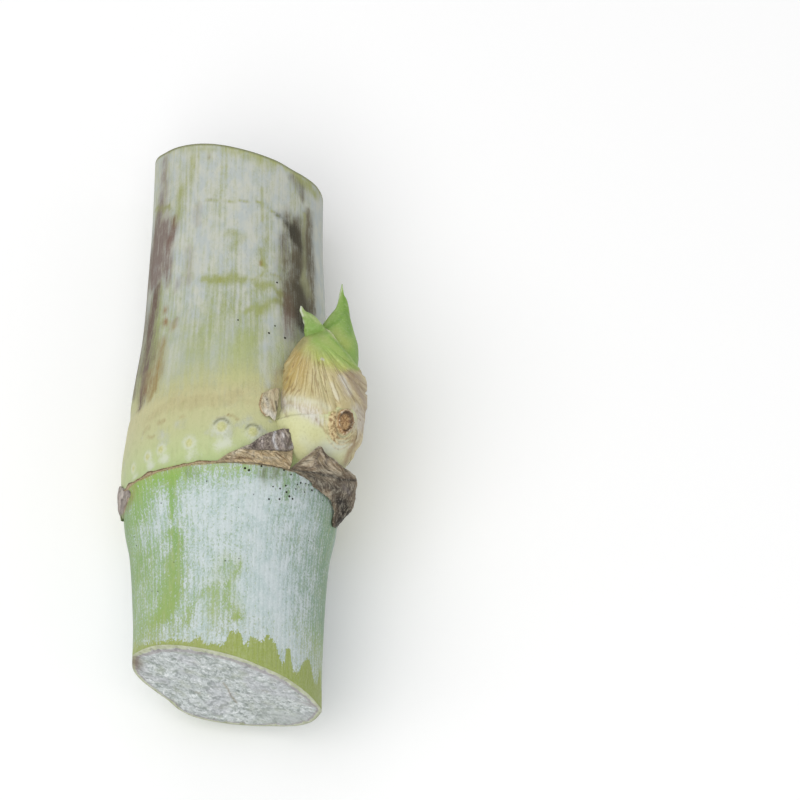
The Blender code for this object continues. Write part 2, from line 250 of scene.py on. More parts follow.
def placeCamera():
    right, up, back = cameraAxes()
    half = shot["side"] / 2
    aside = (shot["scarPixel"][0] - half) / shot["pixelsPerMm"]
    above = (half - shot["scarPixel"][1]) / shot["pixelsPerMm"]
    eye = laidDown(np.zeros(3)) - right * aside - up * above + back * shot["distance"]
    data = bpy.data.cameras.new("camera")
    data.sensor_fit = "HORIZONTAL"
    data.sensor_width = shot["sensor"]
    data.lens = shot["pixelsPerMm"] * shot["distance"] / shot["side"] * shot["sensor"]
    camera = bpy.data.objects.new("camera", data)
    turned = Matrix([right, up, back]).transposed().to_4x4()
    camera.matrix_world = Matrix.Translation(Vector(eye * toMetres)) @ turned
    bpy.context.scene.collection.objects.link(camera)
    bpy.context.scene.camera = camera
    return eye


eye = placeCamera()


def pixelRay(x, y):
    # the line of sight through a pixel: where it starts and which way it goes
    right, up, back = cameraAxes()
    half = shot["side"] / 2
    reach = shot["pixelsPerMm"] * shot["distance"]
    return stoodUp(eye), (right * (x - half) / reach + up * (half - y) / reach - back) @ turn


def castOut(x, y, lift, farSide=False, guess=15.0, rounds=14):
    # the point that a pixel sees on a surface standing off the stem by the given lift, from a guess of its radius
    start, ray = pixelRay(x, y)
    radius = guess + lift
    for _ in range(rounds):
        a = ray[0] ** 2 + ray[2] ** 2
        b = start[0] * ray[0] + start[2] * ray[2]
        c = start[0] ** 2 + start[2] ** 2 - radius**2
        root = math.sqrt(max(b * b - a * c, 0))
        hit = start + ray * (-b + (root if farSide else -root)) / a
        radius = float(stemRadius(hit[1])) + lift
    return hit


def onStem(x, y, farSide=False):
    # where a pixel of the picture lands on the stem: its angle and its station
    hit = castOut(x, y, 0.0, farSide, stem["skinRadius"], 12)
    return math.atan2(hit[0], hit[2]), float(hit[1])


def atNear(x, y, near):
    # the point at a pixel that stands the given distance above the stem's middle
    start, ray = pixelRay(x, y)
    return start + ray * (near - start[2]) / ray[2]


def inPicture(points):
    # the pixel at which each point is seen
    right, up, back = cameraAxes()
    sight = laidDown(points) - eye
    scale = shot["pixelsPerMm"] * shot["distance"] / -(sight @ back)
    half = shot["side"] / 2
    return half + scale * (sight @ right), half - scale * (sight @ up)


rims = {
    # the two cut edges, in pixels; of the lower one its near side first and then its far side
    "lowerNear": [(132, 657.5), (137, 652.5), (145, 648.5), (158, 645), (178, 645), (205, 648.8), (239.7, 657.5),
                  (258, 664.8), (285, 677), (301, 688), (318, 705)],
    "lowerFar": [(132, 667), (138, 677), (152, 689), (168, 700), (178, 709.5), (192, 716.5), (210, 721), (241, 725),
                 (272, 726), (302, 725), (313, 721), (319.5, 714)],
    "upper": [(156.5, 160), (165, 153.5), (178, 147.2), (190, 144.6), (205, 143.6), (220, 144.6), (240, 148.6),
              (260, 154.3), (277, 160.8), (292.5, 170), (308.8, 179.6), (315, 184.6), (319.5, 190.5)],
    "reach": 7.0,  # how far up the wall a change of the rim is felt
}


def rimShifts():
    # how far each rim lies from the plain slanted cut, by angle
    lower = [onStem(x, y) for x, y in rims["lowerNear"]] + [onStem(x, y, True) for x, y in rims["lowerFar"]]
    upper = [onStem(x, y) for x, y in rims["upper"]]
    tables = []
    for places, cut in ((sorted(lower), "lowerCut"), (upper, "upperCut")):
        angles, stations = np.array(places).T
        tables.append((angles, stations - plainCut(cut, angles)))
    return tables


lowerRim, upperRim = rimShifts()


def softened(angle, table):
    # the table read round the stem, averaged over a few degrees
    total = 0
    for step, share in ((-0.06, 0.25), (0, 0.5), (0.06, 0.25)):
        total = total + share * np.interp(aroundTo(angle + step), *table, period=math.tau)
    return total


# Shader arithmetic

class Wire:
    # a socket that can be used in sums

    def __init__(self, maker, socket):
        self.maker = maker
        self.socket = socket

    def __add__(self, other):
        return self.maker.sums("ADD", self, other)

    def __mul__(self, other):
        return self.maker.sums("MULTIPLY", self, other)

    def __sub__(self, other):
        return self.maker.sums("SUBTRACT", self, other)

    def __rsub__(self, other):
        return self.maker.sums("SUBTRACT", other, self)

    __radd__ = __add__
    __rmul__ = __mul__


class Finish:
    # a material, and the nodes that it is made of

    def __init__(self, name, gloss, paints=None):
        self.paints = paints
        self.material = bpy.data.materials.new(name)
        self.material.use_nodes = True
        self.tree = self.material.node_tree
        self.shader = self.tree.nodes["Principled BSDF"]
        self.shader.inputs["Specular IOR Level"].default_value = gloss

    def feed(self, socket, value):
        if isinstance(value, str):  # the name of one of its paints
            value = tint(*self.paints[value])
        if isinstance(value, Wire):
            self.tree.links.new(value.socket, socket)
        elif isinstance(value, tuple) and socket.type == "RGBA":
            socket.default_value = (*value[:3], 1)
        else:
            socket.default_value = value

    def add(self, kind, settings=None, values=None, output=0):
        node = self.tree.nodes.new(kind)
        for key, value in (settings or {}).items():
            setattr(node, key, value)
        pairs = values.items() if isinstance(values, dict) else enumerate(values or [])
        for key, value in pairs:
            self.feed(node.inputs[key], value)
        return Wire(self, node.outputs[output])

    def sums(self, operation, *values):
        return self.add("ShaderNodeMath", {"operation": operation}, values)

    def blend(self, share, first, second):
        settings = {"data_type": "RGBA", "blend_type": "MIX", "clamp_factor": True}
        return self.add("ShaderNodeMix", settings, {0: share, 6: first, 7: second}, 2)

    def step(self, value, low, high):
        values = {"Value": value, "From Min": low, "From Max": high}
        return self.add("ShaderNodeMapRange", {"interpolation_type": "SMOOTHSTEP"}, values)

    def scaled(self, where, scale):
        return self.add("ShaderNodeVectorMath", {"operation": "MULTIPLY"}, [where, scale])

    def place(self, x, y, z):
        # the object's own coordinates, in blobs per millimetre along each axis
        where = self.add("ShaderNodeTexCoord", output="Object")
        return self.scaled(where, (x / toMetres, y / toMetres, z / toMetres))

    def noise(self, where, detail=2.0, rough=0.5, warp=0.0, scale=1.0):
        values = {"Vector": where, "Scale": scale, "Detail": detail, "Roughness": rough, "Distortion": warp}
        return self.add("ShaderNodeTexNoise", {}, values)

    def grain(self, x, y, z, *look):
        return self.noise(self.place(x, y, z), *look)

    def skin(self, across, along, *look):
        # noise over the unrolled skin of the stem, in blobs per millimetre across and along
        return self.noise(self.scaled(self.field("skin", "Vector"), (across, along, across)), *look)

    def lines(self, noise, low, high):
        # thin lines where a noise crosses its middle value
        return 1 - self.step(self.sums("ABSOLUTE", noise - 0.5), low, high)

    def field(self, name, output="Fac"):
        return self.add("ShaderNodeAttribute", {"attribute_name": name}, output=output)

    def bump(self, height, strength, depth):
        values = {"Height": height, "Strength": strength, "Distance": depth * toMetres}
        return self.add("ShaderNodeBump", {}, values)

    def finish(self, colour, rough, normal=None):
        self.feed(self.shader.inputs["Base Color"], colour)
        self.feed(self.shader.inputs["Roughness"], rough)
        if normal:
            self.feed(self.shader.inputs["Normal"], normal)
        return self.material


# Mesh making

def gridQuads(rows, columns, closed, start=0):
    # quads of a grid of points, whose last column meets the first if it is closed
    across = columns if closed else columns - 1
    i, j = [k.ravel() for k in np.meshgrid(np.arange(rows - 1), np.arange(across), indexing="ij")]
    after = (j + 1) % columns
    corners = [i * columns + j, i * columns + after, (i + 1) * columns + after, (i + 1) * columns + j]
    return (start + np.stack(corners, axis=-1)).tolist()


def twice(values):
    # a sheet's field, the same on its back
    return np.concatenate([values.ravel(), values.ravel()])


def makePiece(name, points, faces, fields, materials, nodes, faceMaterials=None):
    points = aboveFloor(points, stem["clearance"][0])
    mesh = bpy.data.meshes.new(name)
    mesh.from_pydata((points * toMetres).tolist(), [], faces)
    for key, values in fields.items():
        kind, part = ("FLOAT", "value") if values.ndim == 1 else ("FLOAT_VECTOR", "vector")
        if key in ("ground", "stain"):  # the two fields that are colours
            kind, part = "FLOAT_COLOR", "color"
            values = np.concatenate([values, np.ones((len(values), 1))], axis=1)
        layer = mesh.attributes.new(key, kind, "POINT")
        layer.data.foreach_set(part, values.astype(np.float32).ravel())
    for material in materials:
        mesh.materials.append(material)
    if faceMaterials is not None:
        mesh.polygons.foreach_set("material_index", faceMaterials.astype(np.int32))
    mesh.shade_smooth()
    mesh.update()
    piece = bpy.data.objects.new(name, mesh)
    bpy.context.scene.collection.objects.link(piece)
    piece.matrix_world = Matrix.Translation(Vector(shift * toMetres)) @ Matrix(turn).to_4x4()
    bpy.context.view_layer.update()
    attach(piece, "root")
    if nodes:
        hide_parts(*nodes)
    print("made", name, len(points), "points")
    return piece


def closedTube(rows):
    # a tube of rings of points, each end closed by a fan
    count, columns = rows.shape[:2]
    points = np.concatenate([rows.reshape(-1, 3), rows[0].mean(0)[None], rows[-1].mean(0)[None]])
    faces = gridQuads(count, columns, True)
    last = (count - 1) * columns
    for k in range(columns):
        after = (k + 1) % columns
        faces.append([after, k, count * columns])
        faces.append([last + k, last + after, count * columns + 1])
    return points, faces


def closedSheet(outer, inner):
    # a thin sheet with both its faces and its edge
    rows, columns = outer.shape[:2]
    size = rows * columns
    points = np.concatenate([outer.reshape(-1, 3), inner.reshape(-1, 3)])
    faces = gridQuads(rows, columns, False)
    faces += [face[::-1] for face in gridQuads(rows, columns, False, size)]
    grid = np.arange(size).reshape(rows, columns)
    edge = [*grid[0], *grid[1:, -1], *grid[-1, -2::-1], *grid[-2:0:-1, 0]]
    for a, b in zip(edge, edge[1:] + edge[:1]):
        faces.append([int(b), int(a), int(a + size), int(b + size)])
    return points, faces


# Marks on the stem, placed by the picture's pixels

def frontPlace(angle, t, points):
    # the stem's skin seen from above, a little warped so that no mark has a straight edge; the far side lies beyond
    beyond = np.maximum(np.abs(angle) - math.pi / 2, 0)
    front = np.clip(angle, -math.pi / 2, math.pi / 2)
    across = stem["skinRadius"] * np.sin(front) + 5.0 * np.sign(angle) * beyond
    across = across + 0.7 * (cloud(points, (1.1, 2.4, 1.1), 91, 4) - 0.5)
    along = t + 2.2 * (cloud(points, (1.3, 2.6, 1.3), 92, 4) - 0.5)
    steep = fade((np.abs(angle) - 1.15) / 0.4)
    along = along + 11.0 * steep * (cloud(points, (3.0, 14, 3.0), 94, 3) - 0.5)
    return across, along


def strokeDistance(place, route):
    # how far each point lies from a line of pixels, in its own half-widths; each stop is (x, y, half-width)
    stops = []
    for x, y, half in route:
        angle, t = onStem(x, y)
        stops.append((stem["skinRadius"] * math.sin(angle), t, half))
    return lineDistance(*place, stops)


rootEyes = {
    "front": [(134, 468.6, 0.7), (148, 457, 0.75), (161.4, 449.6, 0.8), (189.4, 443, 0.95), (221.6, 427, 1.25),
              (252.9, 432, 1.15)],  # pixels and size
    "count": 16,
    "station": 4.2,
    "sway": 1.2,
    "hiddenSize": 0.95,
    "hiddenSpan": (90, 264),  # the angles between which they are guessed, and those by the ground are left out
    "groundSpan": 18,
    "rise": 0.16,
}


def eyePlaces():
    places = [(*onStem(x, y), size) for x, y, size in rootEyes["front"]]
    draw = random.Random(11)
    first, last = [math.radians(span) for span in rootEyes["hiddenSpan"]]
    for k in range(rootEyes["count"]):
        angle = first + math.tau * (k + draw.uniform(-0.2, 0.2)) / rootEyes["count"]
        station = rootEyes["station"] + draw.uniform(-1, 1) * rootEyes["sway"]
        onGround = abs(angle - math.pi) < math.radians(rootEyes["groundSpan"])
        if angle < last and not onGround:
            places.append((aroundTo(angle), station, rootEyes["hiddenSize"]))
    return places


def eyeDistances(angle, t):
    # for each root eye: its size, and how far every point lies from its middle across and up the stem
    for place, station, size in eyePlaces():
        across = aroundTo(angle - place) * stem["nodeRadius"]
        yield size, across, t - station


rindMarks = {
    # the torn lower edge of the bloom, in pixels
    "tear": [(138, 645), (155.7, 642), (175.7, 640), (182.3, 641.3), (191.7, 642), (195.7, 637.3), (199.7, 636.7),
             (202.3, 642), (210.3, 644), (223.7, 645.3), (226.3, 640.7), (228, 634), (231, 631), (236, 630.5),
             (240.5, 633), (242, 638), (243.5, 644.5), (249, 643.3), (248.5, 636.7), (258.3, 639.3), (263.7, 640.7),
             (266.3, 634.7), (271.7, 636.7), (275.7, 643.3), (278.3, 654), (282.3, 663.3), (285, 660.7),
             (286.3, 648.7), (290.3, 648.7), (291.7, 663.3), (293, 671.3), (298.3, 672.7), (302.3, 663.3),
             (307.7, 658), (310.3, 663.3), (314.3, 682), (317, 683.3), (319.7, 668.7)],
    # where the bloom is thinner or thicker: how much, and a stroke of (x, y, half its width in millimetres)
    "bloom": [
        (-0.34, [(172.5, 478, 0.7), (172.5, 514, 0.5)]),
        (-0.38, [(172.5, 531, 0.9), (179, 542, 1.0), (176, 558, 1.2), (173.5, 574, 1.2), (173.5, 591, 1.3),
                 (170, 604, 1.4), (163, 616, 1.3)]),
        (-0.3, [(190, 608, 0.8), (188, 622, 0.8)]),
        (-0.12, [(143, 560, 2.2), (160, 590, 2.0), (150, 630, 1.8)]),
        (-0.1, [(128, 505, 0.8), (140, 489, 1.0), (165, 476, 0.8), (215, 467, 0.6), (262, 468, 0.6), (292, 477, 0.5)]),
        (-0.14, [(142, 500, 1.6), (136, 520, 1.2)]),
        (-0.1, [(186, 480, 1.2), (212, 478, 1.2)]),
        (-0.3, [(286.5, 484, 0.4), (286, 488, 0.35)]),
        (-0.42, [(288.5, 494, 0.3), (286.5, 500, 0.4)]),
        (-0.1, [(292, 484, 1.8), (308, 496, 1.6), (318, 512, 1.4)]),
        (-0.16, [(222, 590, 2.2), (228, 560, 1.8), (222, 625, 2.0)]),
        (-0.3, [(236, 575, 0.5), (240, 560, 0.4)]),
        (-0.25, [(197, 598, 0.7), (214, 590, 0.8), (212, 612, 0.8)]),
        (-0.25, [(228, 582, 0.5), (226, 600, 0.6), (236, 612, 0.8)]),
        (-0.5, [(234, 620, 0.7), (239, 616, 0.5)]),
        (-0.12, [(282, 512, 1.6), (276, 525, 1.8), (290, 545, 1.6)]),
        (-0.12, [(243, 470, 1.4), (222, 480, 1.0)]),
        (-0.16, [(330, 530, 1.0), (326, 600, 1.2), (321, 650, 1.2)]),
        (-0.14, [(300, 540, 2.2), (300, 620, 2.0)]),
        (0.1, [(196, 500, 1.6), (226, 500, 2.6), (262, 520, 2.2)]),
        (0.22, [(160, 505, 1.1), (158, 530, 1.0)]),
        (0.12, [(142, 530, 0.9), (145, 542, 0.8)]),
        (0.12, [(255, 500, 2.4), (262, 560, 2.6), (262, 600, 2.4)]),
        (0.14, [(280, 600, 1.6), (285, 640, 1.0)]),
        (0.16, [(165, 625, 0.5), (166, 637, 0.7)]),
        (0.12, [(205, 175, 2.6), (200, 250, 2.2), (195, 300, 1.6)]),
        (0.12, [(240, 180, 3.0), (246, 230, 2.4), (255, 250, 1.4)]),
        (0.16, [(280, 180, 1.2), (277, 240, 1.0)]),
        (0.5, [(318, 200, 0.8), (318, 325, 0.8)]),
        (0.3, [(270, 315, 0.9), (268, 342, 1.0)]),
        (0.3, [(266, 345, 0.6), (264, 365, 0.7), (268, 385, 0.5)]),
        (0.25, [(285, 318, 1.0), (288, 335, 0.9)]),
        (-0.28, [(202, 279, 0.5), (218, 277, 0.7), (243, 279, 0.6)]),
        (-0.3, [(257, 284, 0.5), (270, 288, 0.7), (281, 293, 0.5)]),
        (-0.28, [(247, 311, 0.5), (266, 307, 0.6), (281, 301, 0.5)]),
        (-0.25, [(228, 232, 0.8), (242, 238, 0.9), (232, 246, 0.7)]),
        (-0.2, [(262, 190, 0.25), (262, 222, 0.3)]),
        (-0.25, [(261, 250, 0.5), (264, 266, 0.4)]),
        (-0.16, [(234, 306, 1.4), (245, 320, 1.8), (240, 345, 1.6)]),
        (-0.16, [(193, 160, 1.2), (190, 178, 1.2)]),
        (-0.2, [(182, 190, 0.8), (179, 215, 0.7)]),
        (-0.3, [(156, 209, 0.3), (171, 209, 0.3)]),
        (-0.35, [(160, 290, 1.1), (156, 330, 1.4), (150, 360, 1.2), (138, 400, 0.9)]),
        (-0.14, [(258, 296, 1.4), (262, 330, 1.2)]),
        (-0.4, [(301, 178, 0.9), (312, 190, 1.0)]),
        (-0.26, [(248, 340, 1.6), (240, 356, 2.0), (236, 376, 1.8)]),
        (-0.12, [(204, 330, 1.4), (195, 345, 1.6)]),
        (0.12, [(180, 345, 1.8), (172, 375, 1.6)]),
        (0.12, [(215, 350, 1.0), (210, 380, 1.0)]),
    ],
    # stains over the bloom, with some painted shade along the left edge and by the horn: colour, strength, and the
    # stroke
    "stains": [
        ("redBrown", 0.65, [(174.5, 216, 0.3), (174.5, 228, 0.5), (172, 238, 0.45)]),
        ("mauve", 0.28, [(168, 222, 0.5), (166, 245, 0.7), (163, 272, 0.7)]),
        ("redBrown", 0.5, [(171, 238, 0.4), (169, 254, 0.5), (168, 268, 0.5), (167, 284, 0.4)]),
        ("mauve", 0.5, [(165, 160, 0.5), (164, 190, 0.6), (161, 215, 0.7)]),
        ("mauve", 0.95, [(162, 225, 0.9), (158, 250, 1.2), (156, 268, 1.2), (154, 282, 0.8)]),
        ("brown", 0.75, [(156, 290, 0.5), (154, 305, 0.6), (151.5, 325, 0.65), (149, 345, 0.8), (147, 362, 0.9),
                         (144, 378, 0.6), (142, 395, 0.5), (139.5, 410, 0.35)]),
        ("brown", 0.5, [(158, 215, 0.3), (152, 260, 0.4), (146, 300, 0.4), (139, 350, 0.4), (133, 400, 0.4)]),
        ("gold", 0.6, [(163, 340, 0.4), (161, 355, 0.6), (158, 372, 0.6), (153, 390, 0.5), (150, 398, 0.3)]),
        ("rust", 0.6, [(166, 308, 0.3), (166, 310, 0.3)]),
        ("rust", 0.8, [(165, 321, 0.32), (164.8, 325, 0.32)]),
        ("rust", 0.45, [(174, 322, 0.4), (173, 328, 0.4)]),
        ("rust", 0.4, [(150, 372, 0.6), (146, 392, 0.5)]),
        ("mauve", 0.32, [(189.5, 250, 0.5), (188.5, 280, 0.5)]),
        ("mauve", 0.3, [(179, 280, 0.4), (177, 292, 0.4)]),
        ("mauve", 0.25, [(198, 208, 0.5), (197, 222, 0.5)]),
        ("redBrown", 0.4, [(209, 154, 0.2), (209, 156, 0.2)]),
        ("dark", 0.5, [(279, 215, 0.4), (287, 222, 0.5), (293, 229, 0.6)]),
        ("dark", 0.95, [(294, 228, 0.8), (296.5, 234, 0.9), (299, 243, 0.7)]),
        ("earth", 0.6, [(288, 214, 0.8), (297, 222, 0.9), (301, 240, 0.9), (303, 262, 0.8)]),
        ("earth", 0.45, [(284, 240, 0.6), (284, 262, 0.7), (287, 285, 0.9), (292, 305, 1.1)]),
        ("earth", 0.34, [(285, 226, 0.5), (286, 250, 0.9), (287, 275, 1.0), (289, 300, 1.1), (294, 322, 0.9)]),
        ("dark", 0.5, [(294, 228, 0.6), (298, 240, 0.7)]),
        ("dark", 0.3, [(298, 262, 0.7), (298, 280, 0.7)]),
        ("dark", 0.5, [(297, 292, 0.9), (300, 310, 0.9)]),
        ("rust", 0.3, [(133, 492, 0.4), (129, 508, 0.4)]),
        ("dark", 0.4, [(300, 248, 0.4), (300, 262, 0.4), (299, 278, 0.4)]),
        ("dark", 0.45, [(309, 255, 0.4), (309.5, 268, 0.5)]),
        ("earth", 0.7, [(308.5, 212, 0.4), (309, 240, 0.5), (310, 270, 0.6), (310.5, 312, 0.6)]),
        ("earth", 0.6, [(296, 258, 0.8), (298, 280, 1.0), (300, 300, 1.0)]),
        # a dark stain whose lower end, by the horn, is painted shadow of the horn
        ("dark", 0.75, [(298, 288, 0.7), (301, 300, 0.9), (300, 314, 0.8), (303, 328, 0.7)]),
        ("redBrown", 0.45, [(288, 296, 0.6), (290, 314, 0.7)]),
        ("mauve", 0.4, [(289, 318, 0.8), (288, 334, 0.8)]),
        ("earth", 0.45, [(293, 178, 0.5), (299, 186, 0.7), (302, 196, 0.4)]),
        ("earth", 0.3, [(297, 334, 0.6), (291, 352, 0.6), (284, 372, 0.5)]),
        ("rust", 0.25, [(279, 372, 0.5), (276, 390, 0.6)]),
        ("rust", 0.45, [(261, 263, 0.22), (261, 266, 0.22)]),
        ("rust", 0.3, [(147, 430, 0.3), (148, 431, 0.3)]),
        ("rust", 0.4, [(161, 423.5, 0.3), (164, 421, 0.2)]),
        ("rust", 0.4, [(150, 439, 0.3), (154, 437, 0.2)]),
        ("rust", 0.25, [(181, 419, 0.25), (182, 419, 0.25)]),
        ("rust", 0.16, [(150, 418, 0.8), (168, 406, 0.7), (200, 400, 0.7), (240, 394, 0.6)]),
        ("rust", 0.1, [(180, 412, 0.45), (230, 402, 0.4), (262, 404, 0.4)]),
        ("rust", 0.3, [(219, 417, 0.2), (232, 416, 0.25), (237, 420, 0.2)]),
        ("olive", 0.45, [(225, 150, 0.6), (250, 155, 0.7), (274, 162, 0.6)]),
        ("olive", 0.35, [(160, 155, 0.3), (185, 149, 0.4), (215, 148, 0.4)]),
        ("olive", 0.5, [(203, 279, 0.35), (218, 277.5, 0.5), (244, 279, 0.5)]),
        ("olive", 0.45, [(257, 284, 0.35), (268, 287, 0.45), (281, 293, 0.35)]),
        ("olive", 0.4, [(247, 311, 0.4), (266, 307, 0.5), (280, 301, 0.4)]),
        ("olive", 0.4, [(263, 266, 0.2), (270, 270, 0.15), (279, 280, 0.15)]),
        ("olive", 0.4, [(249, 283, 0.15), (265, 275, 0.18), (274, 280, 0.15)]),
        ("olive", 0.16, [(193, 158, 1.0), (190, 180, 1.0)]),
        ("olive", 0.22, [(181, 190, 0.6), (178, 200, 0.7), (178, 219, 0.6)]),
        ("olive", 0.45, [(156, 209, 0.25), (170, 209, 0.25)]),
        ("olive", 0.45, [(300, 180, 0.5), (309, 186, 0.7), (318, 196, 0.6)]),
        ("olive", 0.35, [(228, 232, 0.5), (241, 237, 0.6), (234, 244, 0.5)]),
        ("olive", 0.4, [(261, 250, 0.3), (263, 266, 0.3)]),
        ("olive", 0.35, [(262, 192, 0.25), (262, 222, 0.25)]),
        ("straw", 0.75, [(304.4, 213, 0.2), (304.4, 240, 0.22), (304, 280, 0.22)]),
        ("straw", 0.8, [(304.8, 283, 0.4), (307, 291, 0.45)]),
        ("olive", 0.5, [(205, 200, 0.12), (235, 200, 0.12), (255, 203.5, 0.12), (270, 209.6, 0.13), (278, 215, 0.14)]),
        ("olive", 0.28, [(150, 655, 0.8), (200, 648, 1.0), (225, 650, 0.8)]),
        ("lime", 0.18, [(222, 560, 1.0), (214, 588, 1.4), (212, 612, 1.2)]),
        ("lime", 0.2, [(238, 560, 0.6), (230, 590, 0.8), (236, 612, 1.0)]),
        ("lime", 0.2, [(173, 560, 0.9), (170, 600, 1.0), (161, 618, 0.7)]),
        ("moss", 0.5, [(266, 473, 0.9), (278, 475, 0.7)]),
        ("moss", 0.3, [(188, 473, 0.5), (196, 471, 0.5)]),
        # painted shade: darker green along the stem's left edge, where it turns away
        ("edgeShadeGreen", 0.25, [(126, 510, 0.4), (127.5, 560, 0.4), (131, 640, 0.4)]),
    ],
    "spread": 1.4,  # how much wider than its stroke a stain is
    "faint": 0.002,  # a trace of brown that lies everywhere, so that no place is without a colour
    "stainAndShadeColours": {
        "redBrown": (118, 92, 80), "mauve": (130, 116, 108), "brown": (110, 92, 78), "rust": (146, 112, 68),
        "dark": (52, 50, 40), "earth": (106, 98, 78), "olive": (158, 164, 96), "straw": (174, 178, 136),
        "moss": (120, 132, 96), "lime": (168, 184, 118), "edgeShadeGreen": (92, 118, 96), "gold": (160, 142, 92),
    },
    # colours of the rind above and below the scar, by station
    "upperGround": [
        (0.6, 186, 202, 144), (3, 192, 202, 150), (6, 198, 200, 152), (9, 200, 197, 150), (11, 200, 195, 148),
        (13, 192, 192, 140), (16.4, 176, 184, 130), (20, 168, 178, 122), (26, 160, 170, 116), (35, 158, 166, 114),
        (44, 162, 168, 118), (50, 174, 178, 126), (56, 184, 184, 122),
    ],
    "lowerGround": [
        (-40, 150, 164, 84), (-24, 150, 168, 90), (-20, 142, 172, 96), (-12, 134, 168, 96), (-4, 136, 174, 96),
        (-1, 144, 180, 90), (0.2, 150, 174, 94),
    ],
    # how much bloom there is: by station above the scar, and across the stem below it
    "upperBloom": ([0, 9, 12, 16, 22, 27, 36, 52], [0.06, 0.05, 0.24, 0.46, 0.58, 0.68, 0.78, 0.74]),
    "lowerBloom": ([-14, -12.7, -9, -6, -3, 4, 8, 10.5, 12, 14],
                   [0.16, 0.29, 0.36, 0.47, 0.66, 0.68, 0.68, 0.6, 0.48, 0.3]),
    "coolGreen": (116, 148, 126),
    "ribCount": 116.0,  # fine ribs round the stem
    # dark slits in the lower cut face: half-width in pixels, strength, and the route in pixels
    "cracks": [(1.0, 0.75, [(223.5, 683), (228, 689), (230.5, 695), (236.5, 702.5)]),
               (0.9, 0.5, [(195, 692), (200, 693.5)]), (0.9, 0.5, [(297, 695), (301, 698)]),
               (0.8, 0.4, [(262, 690), (268, 692)])],
}

brown = np.array(tint(*rindMarks["stainAndShadeColours"]["brown"]))


def paintStainsAndShade(place, points):
    # every stain's share and colour, the painted shade among them, each a little ragged along the stem
    ragged = 0.55 + 0.9 * cloud(points, (0.55, 5, 0.55), 33, 4) * cloud(points, (0.5, 0.9, 0.5), 34, 2) * 2
    kept = np.ones(len(points))
    colour = np.zeros((len(points), 3)) + brown * rindMarks["faint"]
    weight = np.full(len(points), rindMarks["faint"])
    for name, strength, route in rindMarks["stains"]:
        distance = strokeDistance(place, route) / rindMarks["spread"]
        share = np.clip(strength * hill(distance) * ragged, 0, 0.98)
        kept = kept * (1 - share)
        colour = colour + share[:, None] * np.array(tint(*rindMarks["stainAndShadeColours"][name]))
        weight = weight + share
    return 1 - kept, colour / weight[:, None]


def tearHeight(angle):
    # the station of the torn edge of the bloom at each angle, all the way round
    seen = np.interp(angle, *np.array([onStem(x, y) for x, y in rindMarks["tear"]]).T)
    around = np.stack([np.sin(angle) * 3.2, np.cos(angle) * 3.2, 0 * angle], axis=-1)
    hidden = plainCut("lowerCut", angle) + 5.5 * cloud(around, (1, 1, 1), 71, 4) - 0.4
    away = fade((np.abs(angle - 0.1) - 1.28) / 0.12)
    return seen * (1 - away) + hidden * away


def eyeFields(angle, t, rough):
    # the pale halo, the dot and the dark crescent of every root eye
    halo, dots, crescent = np.zeros((3, len(angle)))
    for size, across, up in eyeDistances(angle, t):
        distance = np.hypot(across, up / 1.12) / size
        halo = np.maximum(halo, hill(distance / 1.15) * (0.9 + 0.8 * rough))
        dots = np.maximum(dots, 1 - fade((distance - 0.42) / 0.3))
        above = hill((distance - 0.85) / 0.16) * fade(up / (0.5 * size)) * fade((size - 1) / 0.1)
        crescent = np.maximum(crescent, above)
        below = np.hypot((across - 0.4) / 1.3, up + 1.9 * size) / size
        halo = np.maximum(halo, 0.75 * hill(below / 1.1) * (0.4 + 2.0 * (rough + 0.25)))
    return {"halo": np.clip(halo, 0, 1), "dots": dots, "crescent": crescent}


